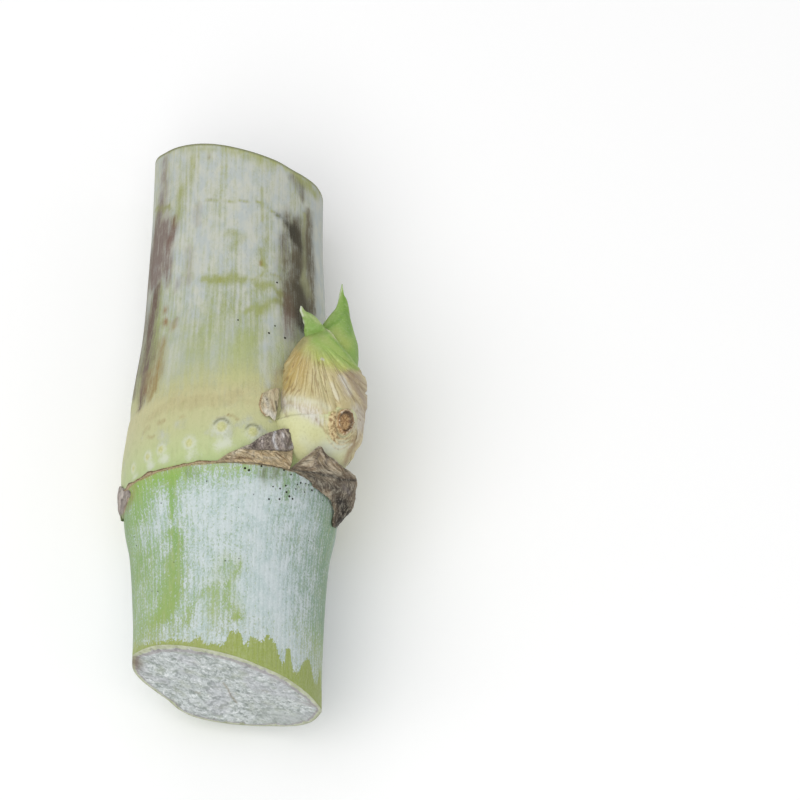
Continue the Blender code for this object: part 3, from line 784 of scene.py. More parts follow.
def rindFields(angle, t, points):
    # every soft field that the rind's finish is mixed from
    upper = fade((t + 0.1) / 0.5)
    broad = cloud(points, (5, 9, 5), 9)
    ground = colourRun(t, rindMarks["lowerGround"]) * (1 - upper)[:, None]
    ground += colourRun(t, rindMarks["upperGround"]) * upper[:, None]
    ground *= (0.94 + 0.12 * broad)[:, None]

    place = frontPlace(angle, t, points)
    side = stem["skinRadius"] * np.sin(angle)
    cool = (0.75 * fade((side - 2) / 8) * (1 - upper) * fade((t + 24) / 6))[:, None]
    ground = ground * (1 - cool) + np.array(tint(*rindMarks["coolGreen"])) * cool
    facing = fade((np.cos(angle) + 0.15) / 0.3)
    bloomUpper = np.interp(t, *rindMarks["upperBloom"])
    bloomLower = np.interp(side, *rindMarks["lowerBloom"])
    bloomLower = bloomLower * facing + 0.56 * (1 - facing) - 0.2 * hill(t / 2.0)
    bloom = bloomLower * (1 - upper) + bloomUpper * upper + 0.24 * (broad - 0.5)
    for change, route in rindMarks["bloom"]:
        bloom = bloom + change * hill(strokeDistance(place, route))
    # faint patches of bloom between the root eyes
    band = hill((t - 5.0) / 3.2) * upper
    bloom = bloom + band * 0.5 * fade((cloud(points, (2.2, 2.2, 2.2), 23, 3) - 0.5) / 0.25)

    rough = cloud(points, (1.4, 1.6, 1.4), 21, 4) - 0.5
    stainShare, stain = paintStainsAndShade(place, points)
    around = stemPoint(t / 16, angle, 3)
    behind = fade((np.abs(angle - 0.05) - 1.45) / 0.2) * fade((t - 12) / 6)
    hidden = behind * 0.8 * fade((cloud(around, (1, 1, 1), 55, 4) - 0.56) / 0.2)
    hidden = hidden * (0.6 + 0.8 * cloud(points, (0.5, 4, 0.5), 35))
    total = stainShare + hidden + rindMarks["faint"]
    stain = (stain * (stainShare + rindMarks["faint"])[:, None] + brown * hidden[:, None]) / total[:, None]
    stainShare = 1 - (1 - stainShare) * (1 - np.clip(hidden, 0, 1))

    tear = np.where(t > -2, 9.0, t - tearHeight(angle))
    fromTop = plainCut("upperCut", angle) + softened(angle, upperRim) - t
    drip = 0.5 + 2.4 * np.clip(cloud(np.stack([side, 0 * t, 0 * t], axis=-1), (0.8, 1, 1), 93, 3) - 0.35, 0, 1)
    drip = drip * (0.45 + 0.55 * fade((side + 3) / 5))
    return {
        **eyeFields(angle, t, rough),
        "topBand": np.clip(1 - fromTop / drip, 0, 1) * upper,
        "topEdge": hill(fromTop / 0.16) * upper,
        "skin": stemPoint(t, angle, stem["skinRadius"]),
        "ground": ground,
        "bloom": bloom,
        "upperPart": upper,
        "streaky": 0.5 + 0.6 * fade((t - 15) / 12),  # how strongly the bloom is drawn out in streaks
        "tear": tear / 10,
        "stain": stain,
        "stainShare": np.clip(stainShare, 0, 1),
        "ledge": hill((t + 0.1 + 0.3 * rough) / 0.26),
    }


rindPaints = {
    "dark": (136, 150, 88), "pale": (208, 210, 162), "upperBloomCool": (188, 195, 196),
    "upperBloomWarm": (202, 204, 196), "lowerBloomDark": (188, 204, 206), "lowerBloomPale": (206, 216, 220),
    "bloomGrains": (222, 230, 234), "dustDark": (154, 168, 88), "dustPale": (180, 190, 140),
    "topBand": (178, 182, 126), "halo": (216, 220, 206), "dotDark": (188, 190, 118),
    "dotPale": (206, 206, 142), "crescent": (104, 106, 74), "ledgeDark": (128, 104, 70),
    "ledgePale": (178, 158, 112), "topEdge": (96, 98, 80),
}


def rindFinish():
    made = Finish("rindFinish", 0.3, rindPaints)
    ground = made.field("ground", "Color")
    upper = made.field("upperPart")
    streaks = made.skin(1.9, 0.11, 3, 0.62)  # streaks along the stem
    broadStreaks = made.skin(0.55, 0.04, 2, 0.5)
    fineStreaks = made.skin(4.8, 0.3, 3, 0.6)
    mottles = made.skin(1.1, 0.7, 4, 0.65, 0.4)
    grain = made.skin(4.2, 3.4, 3, 0.65)
    flecks = made.skin(4.6, 2.7, 3, 0.6, 0.4)  # the netted gaps in the bloom
    dashes = made.skin(3.0, 0.7, 2, 0.6)
    patches = made.skin(0.6, 0.4, 3, 0.6)

    # living rind, a little uneven
    darker = made.blend(0.5, ground, "dark")
    paler = made.blend(0.5, ground, "pale")
    colour = made.blend(made.step(mottles, 0.46, 0.68) * 0.4, ground, darker)
    colour = made.blend(made.step(streaks * 0.5 + mottles * 0.5, 0.46, 0.62) * 0.36, colour, paler)
    colour = made.blend(made.step(grain, 0.5, 0.75) * 0.2, colour, darker)

    # bloom of the upper part in soft streaks, and of the lower part in a net
    bloom = made.field("bloom")
    drawn = (streaks - 0.5) * 0.8 + (broadStreaks - 0.5) * 0.6 + (mottles - 0.5) * 0.7 + (grain - 0.5) * 0.4
    upperSum = bloom + drawn * made.field("streaky")
    across, away = [made.add("ShaderNodeSeparateXYZ", {}, [made.field("skin", "Vector")], k) for k in (0, 2)]
    turned = made.sums("ARCTAN2", across, away)
    ribs = made.sums("SINE", turned * rindMarks["ribCount"] + broadStreaks * 9.0 + dashes * 3.0)
    upperSum = upperSum + ribs * made.field("streaky") * 0.05
    fineNet = made.skin(7.0, 4.2, 2, 0.6, 0.6)
    lowerSum = bloom + (flecks - 0.5) * 1.5 + (fineNet - 0.5) * 1.4 + (dashes - 0.5) * 0.5 + (patches - 0.5) * 0.5
    lowerSum = lowerSum + ribs * 0.12
    streaked = made.step(upperSum, 0.1, 0.96)
    netted = made.step(lowerSum, 0.18, 0.68)
    jagged = made.field("tear") * 10 + (grain - 0.5) * 1.6 + (flecks - 0.5) * 2.2 + (mottles - 0.5) * 1.2
    kept = made.step(jagged, -0.14, 0.14)
    upperBloom = made.blend(made.step(patches, 0.35, 0.65), "upperBloomCool", "upperBloomWarm")
    lowerBloom = made.blend(made.step(patches, 0.35, 0.65), "lowerBloomDark", "lowerBloomPale")
    lowerBloom = made.blend(made.step(grain, 0.48, 0.6) * 0.5, lowerBloom, "bloomGrains")
    bare = (1 - kept) * (1 - upper)
    dusty = made.blend(made.step(grain * 0.6 + fineStreaks * 0.4, 0.4, 0.62) * 0.6, "dustDark",
                       "dustPale")
    colour = made.blend(streaked * upper * 0.9, colour, upperBloom)
    dust = made.step(mottles * 0.5 + flecks * 0.5, 0.5, 0.62) * 0.5
    colour = made.blend(bare * (0.95 - dust), colour, dusty)
    haze = made.step(bloom, 0.0, 0.7) * 0.36
    colour = made.blend((netted * (0.92 - haze) + haze) * kept * (1 - upper), colour, lowerBloom)
    topBand = made.step(made.field("topBand") + (grain - 0.5) * 0.5, 0.1, 0.7)
    colour = made.blend(topBand * 0.75, colour, "topBand")

    # stains and marks
    stainShare = made.field("stainShare")
    broken = (fineStreaks - 0.5) * 0.9 + (streaks - 0.5) * 0.6 + (grain - 0.5) * 0.5
    broken = broken * (made.step(stainShare, 0.08, 0.5) * 0.85 + 0.15)
    stainCut = made.step(stainShare + broken, -0.12, 0.95)
    stainCut = stainCut * made.step(stainShare, 0.0, 0.12)
    # stains, with the painted shade along the left edge and by the horn
    colour = made.blend(stainCut, colour, made.field("stain", "Color"))
    halo = made.step(made.field("halo") + (grain - 0.5) * 0.7, 0.14, 0.8)
    colour = made.blend(halo * 0.7, colour, "halo")
    dotColour = made.blend(made.step(grain, 0.4, 0.6), "dotDark", "dotPale")
    colour = made.blend(made.field("dots") * 0.8, colour, dotColour)
    colour = made.blend(made.field("crescent") * 0.75, colour, "crescent")
    ledge = made.step(made.field("ledge") + (grain - 0.5) * 0.4, 0.4, 0.75)
    ledgeColour = made.blend(made.step(grain, 0.4, 0.6), "ledgeDark", "ledgePale")
    colour = made.blend(ledge * 0.8, colour, ledgeColour)
    colour = made.blend(made.field("topEdge") * 0.55, colour, "topEdge")

    rough = 0.5 + streaked * upper * 0.15 + netted * 0.2
    ridged = (ribs * 0.22 + 0.3) * (1 - upper)
    height = fineStreaks * 0.3 + streaks * 0.3 + grain * 0.3 + netted * 0.6 + ridged
    return made.finish(colour, rough, made.bump(height, 0.6, 0.1))


pith = {
    "gloss": 0.55,
    "turned": 28,  # degrees by which the grains run down to the right across the cut
    "grains": (820.0, 820.0, 1020.0),  # how many to a metre along each axis
}


pithPaints = {
    "dark": (144, 154, 149), "pale": (210, 217, 216), "glistenHighlight": (244, 247, 247, 0.95),
    "green": (172, 180, 152), "lilac": (190, 188, 198), "smooth": (176, 184, 178), "crack": (142, 130, 100),
    "ring": (152, 140, 142), "rimDark": (184, 190, 148), "rimPale": (206, 210, 180),
    "cornerDark": (96, 78, 62), "cornerPale": (134, 118, 100),
}


def pithFinish():
    made = Finish("pithFinish", pith["gloss"], pithPaints)
    reach = made.field("reach")
    where = made.add("ShaderNodeTexCoord", output="Object")
    turned = made.add("ShaderNodeMapping", {}, {"Vector": where, "Rotation": (0.0, math.radians(pith["turned"]), 0.0)})
    stretched = made.scaled(turned, pith["grains"])
    cells = made.add("ShaderNodeTexVoronoi", {"feature": "F1"}, {"Vector": stretched, "Scale": 1.0})
    grains = made.noise(stretched, 4.0, 0.7, 0.6)
    fine = made.grain(2.8, 2.8, 2.4, 3, 0.6)
    broad = made.grain(0.2, 0.2, 0.2, 2, 0.5)
    cloudy = made.grain(0.6, 0.6, 0.6, 3, 0.6)
    light = made.step(grains * 0.6 + fine * 0.4 - cells * 0.12, 0.32, 0.5)
    colour = made.blend(light, "dark", "pale")
    # painted highlights: white glints on the wet grains of the cut
    colour = made.blend(made.step(grains * 0.55 + fine * 0.45, 0.54, 0.62) * 0.8, colour, "glistenHighlight")
    colour = made.blend(made.step(cloudy, 0.5, 0.7) * 0.35, colour, "green")
    colour = made.blend(made.step(broad, 0.5, 0.62) * 0.3, colour, "lilac")
    colour = made.blend(made.field("smooth") * 0.5, colour, "smooth")
    colour = made.blend(made.field("crack") * 0.85, colour, "crack")
    wobble = (fine - 0.5) * 0.016
    ring = made.step(reach + wobble, 0.918, 0.935) * (1 - made.step(reach + wobble, 0.95, 0.962))
    colour = made.blend(ring * 0.6, colour, "ring")
    rind = made.step(reach + wobble, 0.952, 0.966)
    rimColour = made.blend(made.step(grains, 0.35, 0.65), "rimDark", "rimPale")
    colour = made.blend(rind * 0.9, colour, rimColour)
    colour = made.blend(made.field("corner") * 0.85, colour, made.blend(fine, "cornerDark", "cornerPale"))
    rough = 0.28 + fine * 0.4
    height = grains * 0.9 + fine * 0.4 - cells * 0.3
    return made.finish(colour, rough, made.bump(height, 0.9, 0.3))


def cutFace(edge, outwards, rings):
    # rings from just inside the rim to the middle, with the cut's grain
    middle = np.array([0, edge[:, 1].mean(), 0.0])
    shares = 1 - (np.arange(1, rings + 1) / (rings + 0.5)) ** 0.9
    face = middle + (edge[None] - middle) * shares[:, None, None]
    grain = cloud(face, (1.1, 1.1, 0.7), 13, 4) - 0.5
    pits = fade((cloud(face, (0.5, 0.5, 0.5), 17, 2) - 0.6) / 0.2)
    inside = fade((1 - shares) / 0.05)[:, None]
    face[..., 1] += outwards * inside * (0.45 * grain - 0.25 * pits - 0.05)
    return face, shares[:, None] + 0 * edge[:, 0]


def caneWall(stations, angle):
    # the rings of the rind, from the lower rim to the upper one
    t = slanted(stations[:, None], angle[None, :])
    lowerShare = 1 - fade((stations - stem["lowerCut"]) / rims["reach"])
    upperShare = 1 - fade((stem["upperCut"] - stations) / rims["reach"])
    t = t + lowerShare[:, None] * softened(angle, lowerRim)[None, :]
    t = t + upperShare[:, None] * softened(angle, upperRim)[None, :]
    around = angle[None, :] + 0 * t
    radius = stemRadius(stations)[:, None] + 0 * angle[None, :]
    flat = stemPoint(t, around, radius)
    radius = radius + 0.1 * (cloud(flat, (9, 16, 9), 5) - 0.5) + 0.05 * (cloud(flat, (1.2, 12, 1.2), 6) - 0.5)
    for size, across, up in eyeDistances(angle[None, :], t):
        distance = np.hypot(across, up) / size
        collar = hill((distance - 0.95) / 0.35) * 0.45
        radius = radius + rootEyes["rise"] * size * (hill(distance / 0.55) + collar + 0.5 * hill(distance / 1.4))
    return stemPoint(t, around, radius)


def faceFields(points, reach):
    # the soft fields of the cut faces; the cracks and the worn corners are on the lower one
    facing = np.clip(np.cos(np.arctan2(points[:, 0], points[:, 2])), 0, 1)
    x, y, z = points.T
    low = y < 0
    ragged = 0.5 + cloud(points, (0.4, 0.4, 0.4), 81)
    left = hill(np.hypot((x + 12.6) / 1.0, (z - 0.6) / 1.6))
    right = 0.7 * hill(np.hypot((x - 11.6) / 1.1, (z - 2.2) / 0.8))
    seenX, seenY = [seen + 1.6 * (ragged - 1) for seen in inPicture(points)]
    crack = np.zeros(len(points))
    for half, strength, route in rindMarks["cracks"]:
        distance = lineDistance(seenX, seenY, [(*stop, half) for stop in route])
        crack = np.maximum(crack, strength * hill(distance))
    return {
        "reach": 1 - (1 - reach) / (0.75 + 1.9 * facing),
        "corner": np.clip((left + right) * low * ragged, 0, 1),
        "crack": crack * low,
        "smooth": fade((x - 2) / 5) * fade((-2 - z) / 4) * low,
    }


def buildCane():
    columns = stem["columns"]
    rings = stem["faceRings"]
    angle = np.arange(columns) / columns * math.tau - math.pi
    stops = [stem["lowerCut"], *stem["nodeSpan"], stem["upperCut"]]
    spans = [np.linspace(*ends, count) for *ends, count in zip(stops, stops[1:], stem["wallRings"])]
    stations = np.concatenate([spans[0], spans[1][1:], spans[2][1:]])
    wall = caneWall(stations, angle)
    lower, lowerReach = cutFace(wall[0], -1, rings[0])
    upper, upperReach = cutFace(wall[-1], 1, rings[1])
    reach = np.concatenate([lowerReach[::-1], np.ones(wall.shape[:2]), upperReach])
    circles = aboveFloor(np.concatenate([lower[::-1], wall, upper]), stem["clearance"][1])
    points, faces = closedTube(circles)
    fields = rindFields(np.arctan2(points[:, 0], points[:, 2]), points[:, 1], points)
    fields.update(faceFields(points, np.concatenate([reach.ravel(), [0, 0]])))
    quadRow = np.arange(len(faces)) // columns
    onFace = (quadRow < rings[0]) | (quadRow >= rings[0] + len(stations) - 1)
    piece = makePiece("caneBody", points, faces, fields, [rindFinish(), pithFinish()], ["cane"],
                      onFace.astype(int))
    unwrapCane(piece.data, len(stations), points)


unwrap = {
    # shares of the unwrapped square: the wall fills a rectangle, and the two cut faces are discs above it
    "margin": 0.01,
    "wall": (0.98, 0.68),
    "discs": (0.16, 0.46),
    "discHeight": 0.85,
    "discRadius": 13.5,  # millimetres, laid over the share below
    "discShare": 0.135,
}


def unwrapCane(mesh, wallRows, points):
    # the wall as one rectangle, and each cut face as a disc beside it
    columns = stem["columns"]
    rings = stem["faceRings"]
    corners = np.zeros(len(mesh.loops), int)
    mesh.loops.foreach_get("vertex_index", corners)
    totals = np.zeros(len(mesh.polygons), int)
    mesh.polygons.foreach_get("loop_total", totals)
    face = np.repeat(np.arange(len(totals)), totals)
    column = corners % columns
    quads = len(mesh.polygons) - 2 * columns
    wrapped = (face < quads) & (face % columns == columns - 1) & (column == 0)
    column = np.where(wrapped, columns, column)
    along = (corners // columns - rings[0]) / (wallRows - 1)
    margin, (wide, tall) = unwrap["margin"], unwrap["wall"]
    uv = np.stack([margin + wide * column / columns, margin + tall * along], axis=-1)
    faceRow = face // columns
    fan = face >= quads
    low = (faceRow < rings[0]) | (fan & ((face - quads) % 2 == 0))
    high = ((faceRow >= rings[0] + wallRows - 1) & ~fan) | (fan & ((face - quads) % 2 == 1))
    disc = points[corners] / unwrap["discRadius"] * unwrap["discShare"]
    for chosen, middle in zip((low, high), unwrap["discs"]):
        uv[chosen, 0] = middle + disc[chosen, 0]
        uv[chosen, 1] = unwrap["discHeight"] + disc[chosen, 2]
    mesh.uv_layers.new(name="OFBake").data.foreach_set("uv", uv.astype(np.float32).ravel())


specks = {
    "size": 0.17,
    "sides": 8,
    "rings": ((1.0, -0.05), (0.6, 0.05), (0.0, 0.075)),  # how far out and how high each ring of a speck is
    "paints": {"dark": (20, 20, 16), "pale": (58, 56, 40)},
    "hiddenCount": 26,
    "faintCount": 14,
    "pixels": [(238, 320), (285, 338), (269, 333), (277, 282.5), (275, 326), (245, 468), (249, 470), (261.5, 466),
               (284, 470), (291, 474.5), (301, 475), (280, 488.5), (285.8, 485.6), (295.7, 489), (300.6, 482.8),
               (305.5, 483.6), (297.5, 484.5), (304.4, 492.2), (311.8, 490.3), (286.5, 492), (289.3, 496.2),
               (292.6, 498.8), (273, 486.5), (269, 499), (279.5, 499), (308.5, 484.8)],
}


def buildSpecks():
    # tiny dark dots, each a low dome on the rind
    draw = random.Random(21)
    places = [(*onStem(x, y), draw.uniform(0.7, 1.2)) for x, y in specks["pixels"]]
    for _ in range(specks["hiddenCount"]):
        places.append((draw.uniform(1.6, 4.6), draw.uniform(-9, -1.5), draw.uniform(0.5, 1.0)))
    for _ in range(specks["faintCount"]):
        places.append((draw.uniform(-1.2, 1.3), draw.uniform(-18, -2), draw.uniform(0.3, 0.6)))
    points, faces = [], []
    sides = specks["sides"]
    for angle, t, size in places:
        radius = float(stemRadius(t))
        half = specks["size"] * size
        start = len(points)
        for reach, rise in specks["rings"]:
            for k in range(sides if reach else 1):
                turned = math.tau * k / sides
                a = angle + half * reach * math.cos(turned) / radius
                points.append(stemPoint(t + half * reach * math.sin(turned), a, radius + rise + 0.03))
        for k in range(sides):
            after = (k + 1) % sides
            faces.append([start + after, start + k, start + sides + k, start + sides + after])
            faces.append([start + sides + after, start + sides + k, start + 2 * sides])
        faces.append([start + k for k in range(sides)])
    made = Finish("speckFinish", 0.3, specks["paints"])
    uneven = made.grain(6.0, 6.0, 6.0, 2, 0.6)
    finish = made.finish(made.blend(uneven, "dark", "pale"), 0.7)
    makePiece("specks", np.array(points), faces, {}, [finish], [])


buildCane()
buildSpecks()


def paint(points, ground, strokes, colours, wander=1.6):
    # strokes of colour over a ground, each (colour, strength, stops), each stop (x, y, half-width) in pixels
    x, y = [seen + wander * 2 * (cloud(points, (0.5, 0.9, 0.5), seed, 3) - 0.5)
            for seen, seed in zip(inPicture(points), (101, 102))]
    painted = np.zeros((len(points), 3)) + np.array(tint(*ground))
    for name, strength, stops in strokes:
        share = (strength * hill(lineDistance(x, y, stops)))[:, None]
        painted = painted * (1 - share) + np.array(tint(*colours[name])) * share
    return painted


fringe = {
    "low": -0.17, "high": 0.0, "wave": 0.26, "stand": 0.07, "thick": 0.37, "columns": 1100, "rows": 7,
    "paints": {"dark": (112, 88, 60), "pale": (170, 146, 108), "under": (186, 170, 144), "top": (82, 62, 44)},
    # where flakes stand higher: a pixel and how high in millimetres
    "flakes": [(131, 494, 0.4), (147, 482, 0.22), (154, 478, 0.24), (203, 463.5, 0.1), (234, 462, 0.12)],
    "gaps": [(137, 488.5, 0.16), (141, 486.3, 0.16)],  # where it is worn down
}


def buildFringe():
    # what is left of the leaf's foot along the scar: a thin torn rim all the way round
    girth = stem["skinRadius"]
    angle = np.linspace(-math.pi, math.pi, fringe["columns"])[None, :]
    around = stemPoint(0, angle, girth)
    torn = cloud(around, (0.9, 1, 0.9), 111, 4)
    high = fringe["high"] + fringe["wave"] * (torn - 0.5) * 1.4
    for x, y, extra in fringe["flakes"]:
        high = high + extra * hill((angle - onStem(x, y)[0]) * girth / 0.8) * (0.5 + torn)
    for x, y, less in fringe["gaps"]:
        high = high - less * hill((angle - onStem(x, y)[0]) * girth / 0.5)
    high = high + 0.5 * fade((cloud(around, (2.4, 1, 2.4), 113, 2) - 0.55) / 0.2) * (np.abs(angle) > 1.4)
    low = np.minimum(fringe["low"] + 0.2 * (cloud(around, (0.7, 1, 0.7), 112, 4) - 0.5), high - 0.08)
    share = np.linspace(0, 1, fringe["rows"])[:, None]
    t = low + (high - low) * share
    broad = cloud(around, (1.6, 1, 1.6), 114, 3)
    stand = fringe["stand"] * (0.4 + broad) + 0.16 * share * (torn - 0.3)
    radius = stemRadius(t) + stand
    everyAngle = angle + 0 * t
    outer = stemPoint(t, everyAngle, radius)
    inner = stemPoint(t, everyAngle, radius - fringe["thick"])
    points, faces = closedSheet(outer, inner)
    shares = twice(share + 0 * angle)
    made = Finish("fringeFinish", 0.3, fringe["paints"])
    veins = made.skin(3.2, 3.0, 3, 0.65)
    colour = made.blend(made.step(veins, 0.38, 0.6), "dark", "pale")
    colour = made.blend(made.step(made.field("under") + (veins - 0.5), 0.4, 0.9) * 0.6, colour, "under")
    colour = made.blend(made.step(made.field("top") + (veins - 0.5) * 0.6, 0.5, 0.85) * 0.8, colour, "top")
    finish = made.finish(colour, 0.65, made.bump(veins, 0.8, 0.12))
    fields = {"top": shares, "under": 1 - shares, "skin": stemPoint(points[:, 1], twice(everyAngle), girth)}
    makePiece("scarFringe", points, faces, fields, [finish], [])


buildFringe()


# Bud

budStem = 52.0  # degrees round the stem at which the bud stands

budShape = {
    # by station: sideways shift, distance from the stem's middle, half its width and half its depth
    "aside": smoothCurve([(0, 0), (3.5, 0), (6.5, 0), (10, 0), (15, 0.15), (18, 0.85), (20.2, 1.5), (23.9, 2.85)]),
    "away": smoothCurve([(0, 15.8), (3.5, 16.1), (6.5, 16.4), (10, 16.4), (15, 16.3), (18, 16.2), (23.9, 16.1)]),
    "width": smoothCurve([(0, 2.6), (3.5, 4.9), (6.5, 6.15), (10, 6.75), (15, 6.55), (18, 5.75), (20.2, 4.9),
                          (22.2, 4.0), (23.9, 2.9)]),
    "depth": smoothCurve([(0, 1.6), (3.5, 3.7), (6.5, 4.95), (10, 5.5), (15, 5.5), (18, 5.0), (20.2, 4.5), (22.2, 3.9),
                          (23.9, 3.0)]),
}


def budPoint(t, aside, away):
    lean = math.radians(budStem)
    t, aside, away = np.broadcast_arrays(t, aside, away)
    x = math.cos(lean) * aside + math.sin(lean) * away
    z = -math.sin(lean) * aside + math.cos(lean) * away
    return np.stack([x, t, z], axis=-1)


def budRing(t, turned, grow):
    # a point of the bud: turned is 0 to the right of it, 90 outwards and 180 to the left
    turned = np.radians(turned)
    aside = budShape["aside"](t) + (budShape["width"](t) + grow) * np.cos(turned)
    away = budShape["away"](t) + (budShape["depth"](t) + grow) * np.sin(turned)
    return budPoint(t, aside, away)


budColours = {
    "leaf": (152, 186, 84), "leafDark": (112, 154, 56), "leafPale": (178, 196, 130), "leafYellow": (190, 196, 108),
    "oliveBrown": (150, 146, 90), "gold": (190, 164, 90), "goldDeep": (172, 138, 72), "cream": (206, 198, 148),
    "straw": (196, 184, 128), "mauveBrown": (158, 138, 118), "mauveGrey": (182, 168, 156), "white": (226, 226, 216),
    "creamPale": (212, 210, 178), "membrane": (206, 200, 186), "shade": (150, 130, 106), "yellow": (202, 200, 136),
    "pale": (212, 216, 198), "green": (196, 208, 132), "brown": (140, 108, 70), "tan": (188, 168, 128),
    "tanDark": (150, 124, 90),
}

# dry skin on the bud: half-width in pixels, strength, and the route in pixels
drySkin = [(8, 0.85, [(282, 402), (296, 404), (309, 410), (319, 419)]), (6, 0.6, [(279, 394), (281, 412)]),
           (6, 0.5, [(357, 410), (359, 426)])]


def papery(points):
    # where dry skin of the scale still clings
    ragged = 5 * (cloud(points, (0.8, 0.8, 0.8), 47, 4) - 0.5)
    x, y = [seen + ragged for seen in inPicture(points)]
    total = np.zeros(len(points))
    for half, strength, route in drySkin:
        distance = lineDistance(x, y, [(*stop, half) for stop in route])
        total = np.maximum(total, strength * (1 - fade((distance - 0.6) / 0.8)))
    return total


def budFields(points, across, along, look):
    # the soft fields that every piece of the bud has; most are changed later
    fields = {key: np.zeros(len(points)) for key in ("scab", "crust", "ringShade", "flake", "papery")}
    fields["ground"] = paint(points, look["ground"], look["strokes"], budColours, look.get("wander", 1.6))
    return {**fields, "acrossBud": across, "alongBud": along}


budPaints = {
    "paleRibs": (222, 210, 164), "lines": (136, 102, 58), "thinLines": (156, 124, 78),
    "paperyPale": (226, 222, 212), "paperyDark": (164, 146, 124), "speckPale": (236, 236, 210),
    "speckDark": (120, 112, 70), "crustDark": (150, 120, 80), "crustPale": (218, 198, 150),
    "scabDark": (156, 120, 80), "scabPale": (208, 176, 128), "ringShade": (62, 46, 32), "flake": (226, 216, 196),
}


def budFinish(name, gloss):
    made = Finish(name, gloss, budPaints)
    along = made.add("ShaderNodeCombineXYZ", {}, [made.field("acrossBud"), made.field("alongBud") * 0.16, 0.0])
    ribs = made.noise(along, 2.0, 0.5, 0.0, 0.8)
    fine = made.noise(along, 3.0, 0.65, 0.0, 2.2)
    speckle = made.grain(2.6, 2.6, 2.6, 4, 0.62)
    colour = made.field("ground", "Color")
    striped = made.field("striped")
    lines = made.lines(ribs, 0.003, 0.022)
    thinLines = made.lines(fine, 0.004, 0.024)
    colour = made.blend(made.step(fine, 0.46, 0.62) * striped * 0.4, colour, "paleRibs")
    colour = made.blend(lines * striped * 0.5, colour, "lines")
    colour = made.blend(thinLines * striped * 0.22, colour, "thinLines")
    # dry papery skin, its fibres running down to the right
    laid = {"Vector": made.place(1.0, 1.0, 1.0), "Rotation": (0.0, 0.0, 0.9), "Scale": (3.4, 0.55, 2.0)}
    fibres = made.noise(made.add("ShaderNodeMapping", {}, laid), 4.0, 0.65, 0.4)
    papery = made.field("papery")
    colour = made.blend(made.step(fibres, 0.47, 0.6) * papery * 0.62, colour, "paperyPale")
    colour = made.blend(made.step(1 - fibres, 0.52, 0.66) * papery * 0.6, colour, "paperyDark")
    colour = made.blend(made.step(speckle, 0.5, 0.72) * 0.28, colour, made.blend(0.5, colour, "speckPale"))
    colour = made.blend(made.step(1 - speckle, 0.5, 0.72) * 0.3, colour, made.blend(0.5, colour, "speckDark"))
    crust = made.blend(made.step(speckle, 0.4, 0.6), "crustDark", "crustPale")
    colour = made.blend(made.field("crust"), colour, crust)
    scab = made.blend(made.step(speckle, 0.42, 0.58), "scabDark", "scabPale")
    colour = made.blend(made.field("scab"), colour, scab)
    # painted shade: a dark ring inside the scab's raised rim and a thin dark line at its outer foot
    colour = made.blend(made.field("ringShade") * 0.9, colour, "ringShade")
    colour = made.blend(made.field("flake") * made.step(speckle, 0.5, 0.6), colour, "flake")
    height = lines * striped * -0.5 + fine * (striped * 0.5 + 0.1) + speckle * 0.35 + fibres * papery * 0.8
    rough = 0.48 - striped * 0.06 + speckle * 0.15
    return made.finish(colour, rough, made.bump(height, 0.7, 0.15))


foot = {
    "rows": 150,
    "columns": 320,
    "span": (0.6, 12.2),  # stations of its lower and its upper end
    "topRound": 1.6,
    "eye": {"station": 6.75, "turned": 101.0, "width": 1.4, "height": 1.62},
    "ground": (214, 215, 166),
    "strokes": [
        ("yellow", 0.35, [(290, 430, 9), (300, 448, 10), (314, 436, 9)]),
        ("pale", 0.35, [(304, 440, 6), (314, 450, 6)]),
        ("green", 0.55, [(320, 406, 8), (332, 411, 5)]),
        ("pale", 0.85, [(326, 449, 8), (342, 446, 7)]),
        ("membrane", 0.85, [(282, 403, 7), (298, 404, 8), (311, 411, 8), (318, 421, 5)]),
        ("white", 0.5, [(300, 411, 4), (313, 416, 4)]),
        ("shade", 0.5, [(280, 398, 2.4), (284, 410, 2.4), (287, 416, 2)]),
        ("mauveGrey", 0.5, [(290, 398, 3), (303, 402, 3)]),
        ("brown", 0.6, [(317, 419, 1.2), (321, 426, 1.2), (328, 433, 1.4), (334, 438, 1.4)]),
        ("cream", 0.7, [(324, 424, 4), (328, 430, 3)]),
        ("tan", 0.7, [(358, 432, 6), (353, 446, 5), (346, 461, 4)]),
        ("membrane", 0.6, [(356, 422, 4), (352, 430, 3)]),
        ("tanDark", 0.5, [(356, 436, 3), (354, 444, 3)]),
        ("tanDark", 0.7, [(363, 425, 2.4), (357, 439, 3), (349, 454, 2.6), (345, 464, 2)]),
        ("brown", 0.6, [(337, 437, 1.0), (345, 440, 1.2), (352, 436, 1.0)]),
        ("brown", 0.5, [(338, 441, 0.8), (346, 443.5, 0.9), (353, 440, 0.8)]),
        ("white", 0.5, [(349, 447, 1.4), (351, 444, 1.2)]),
    ],
}

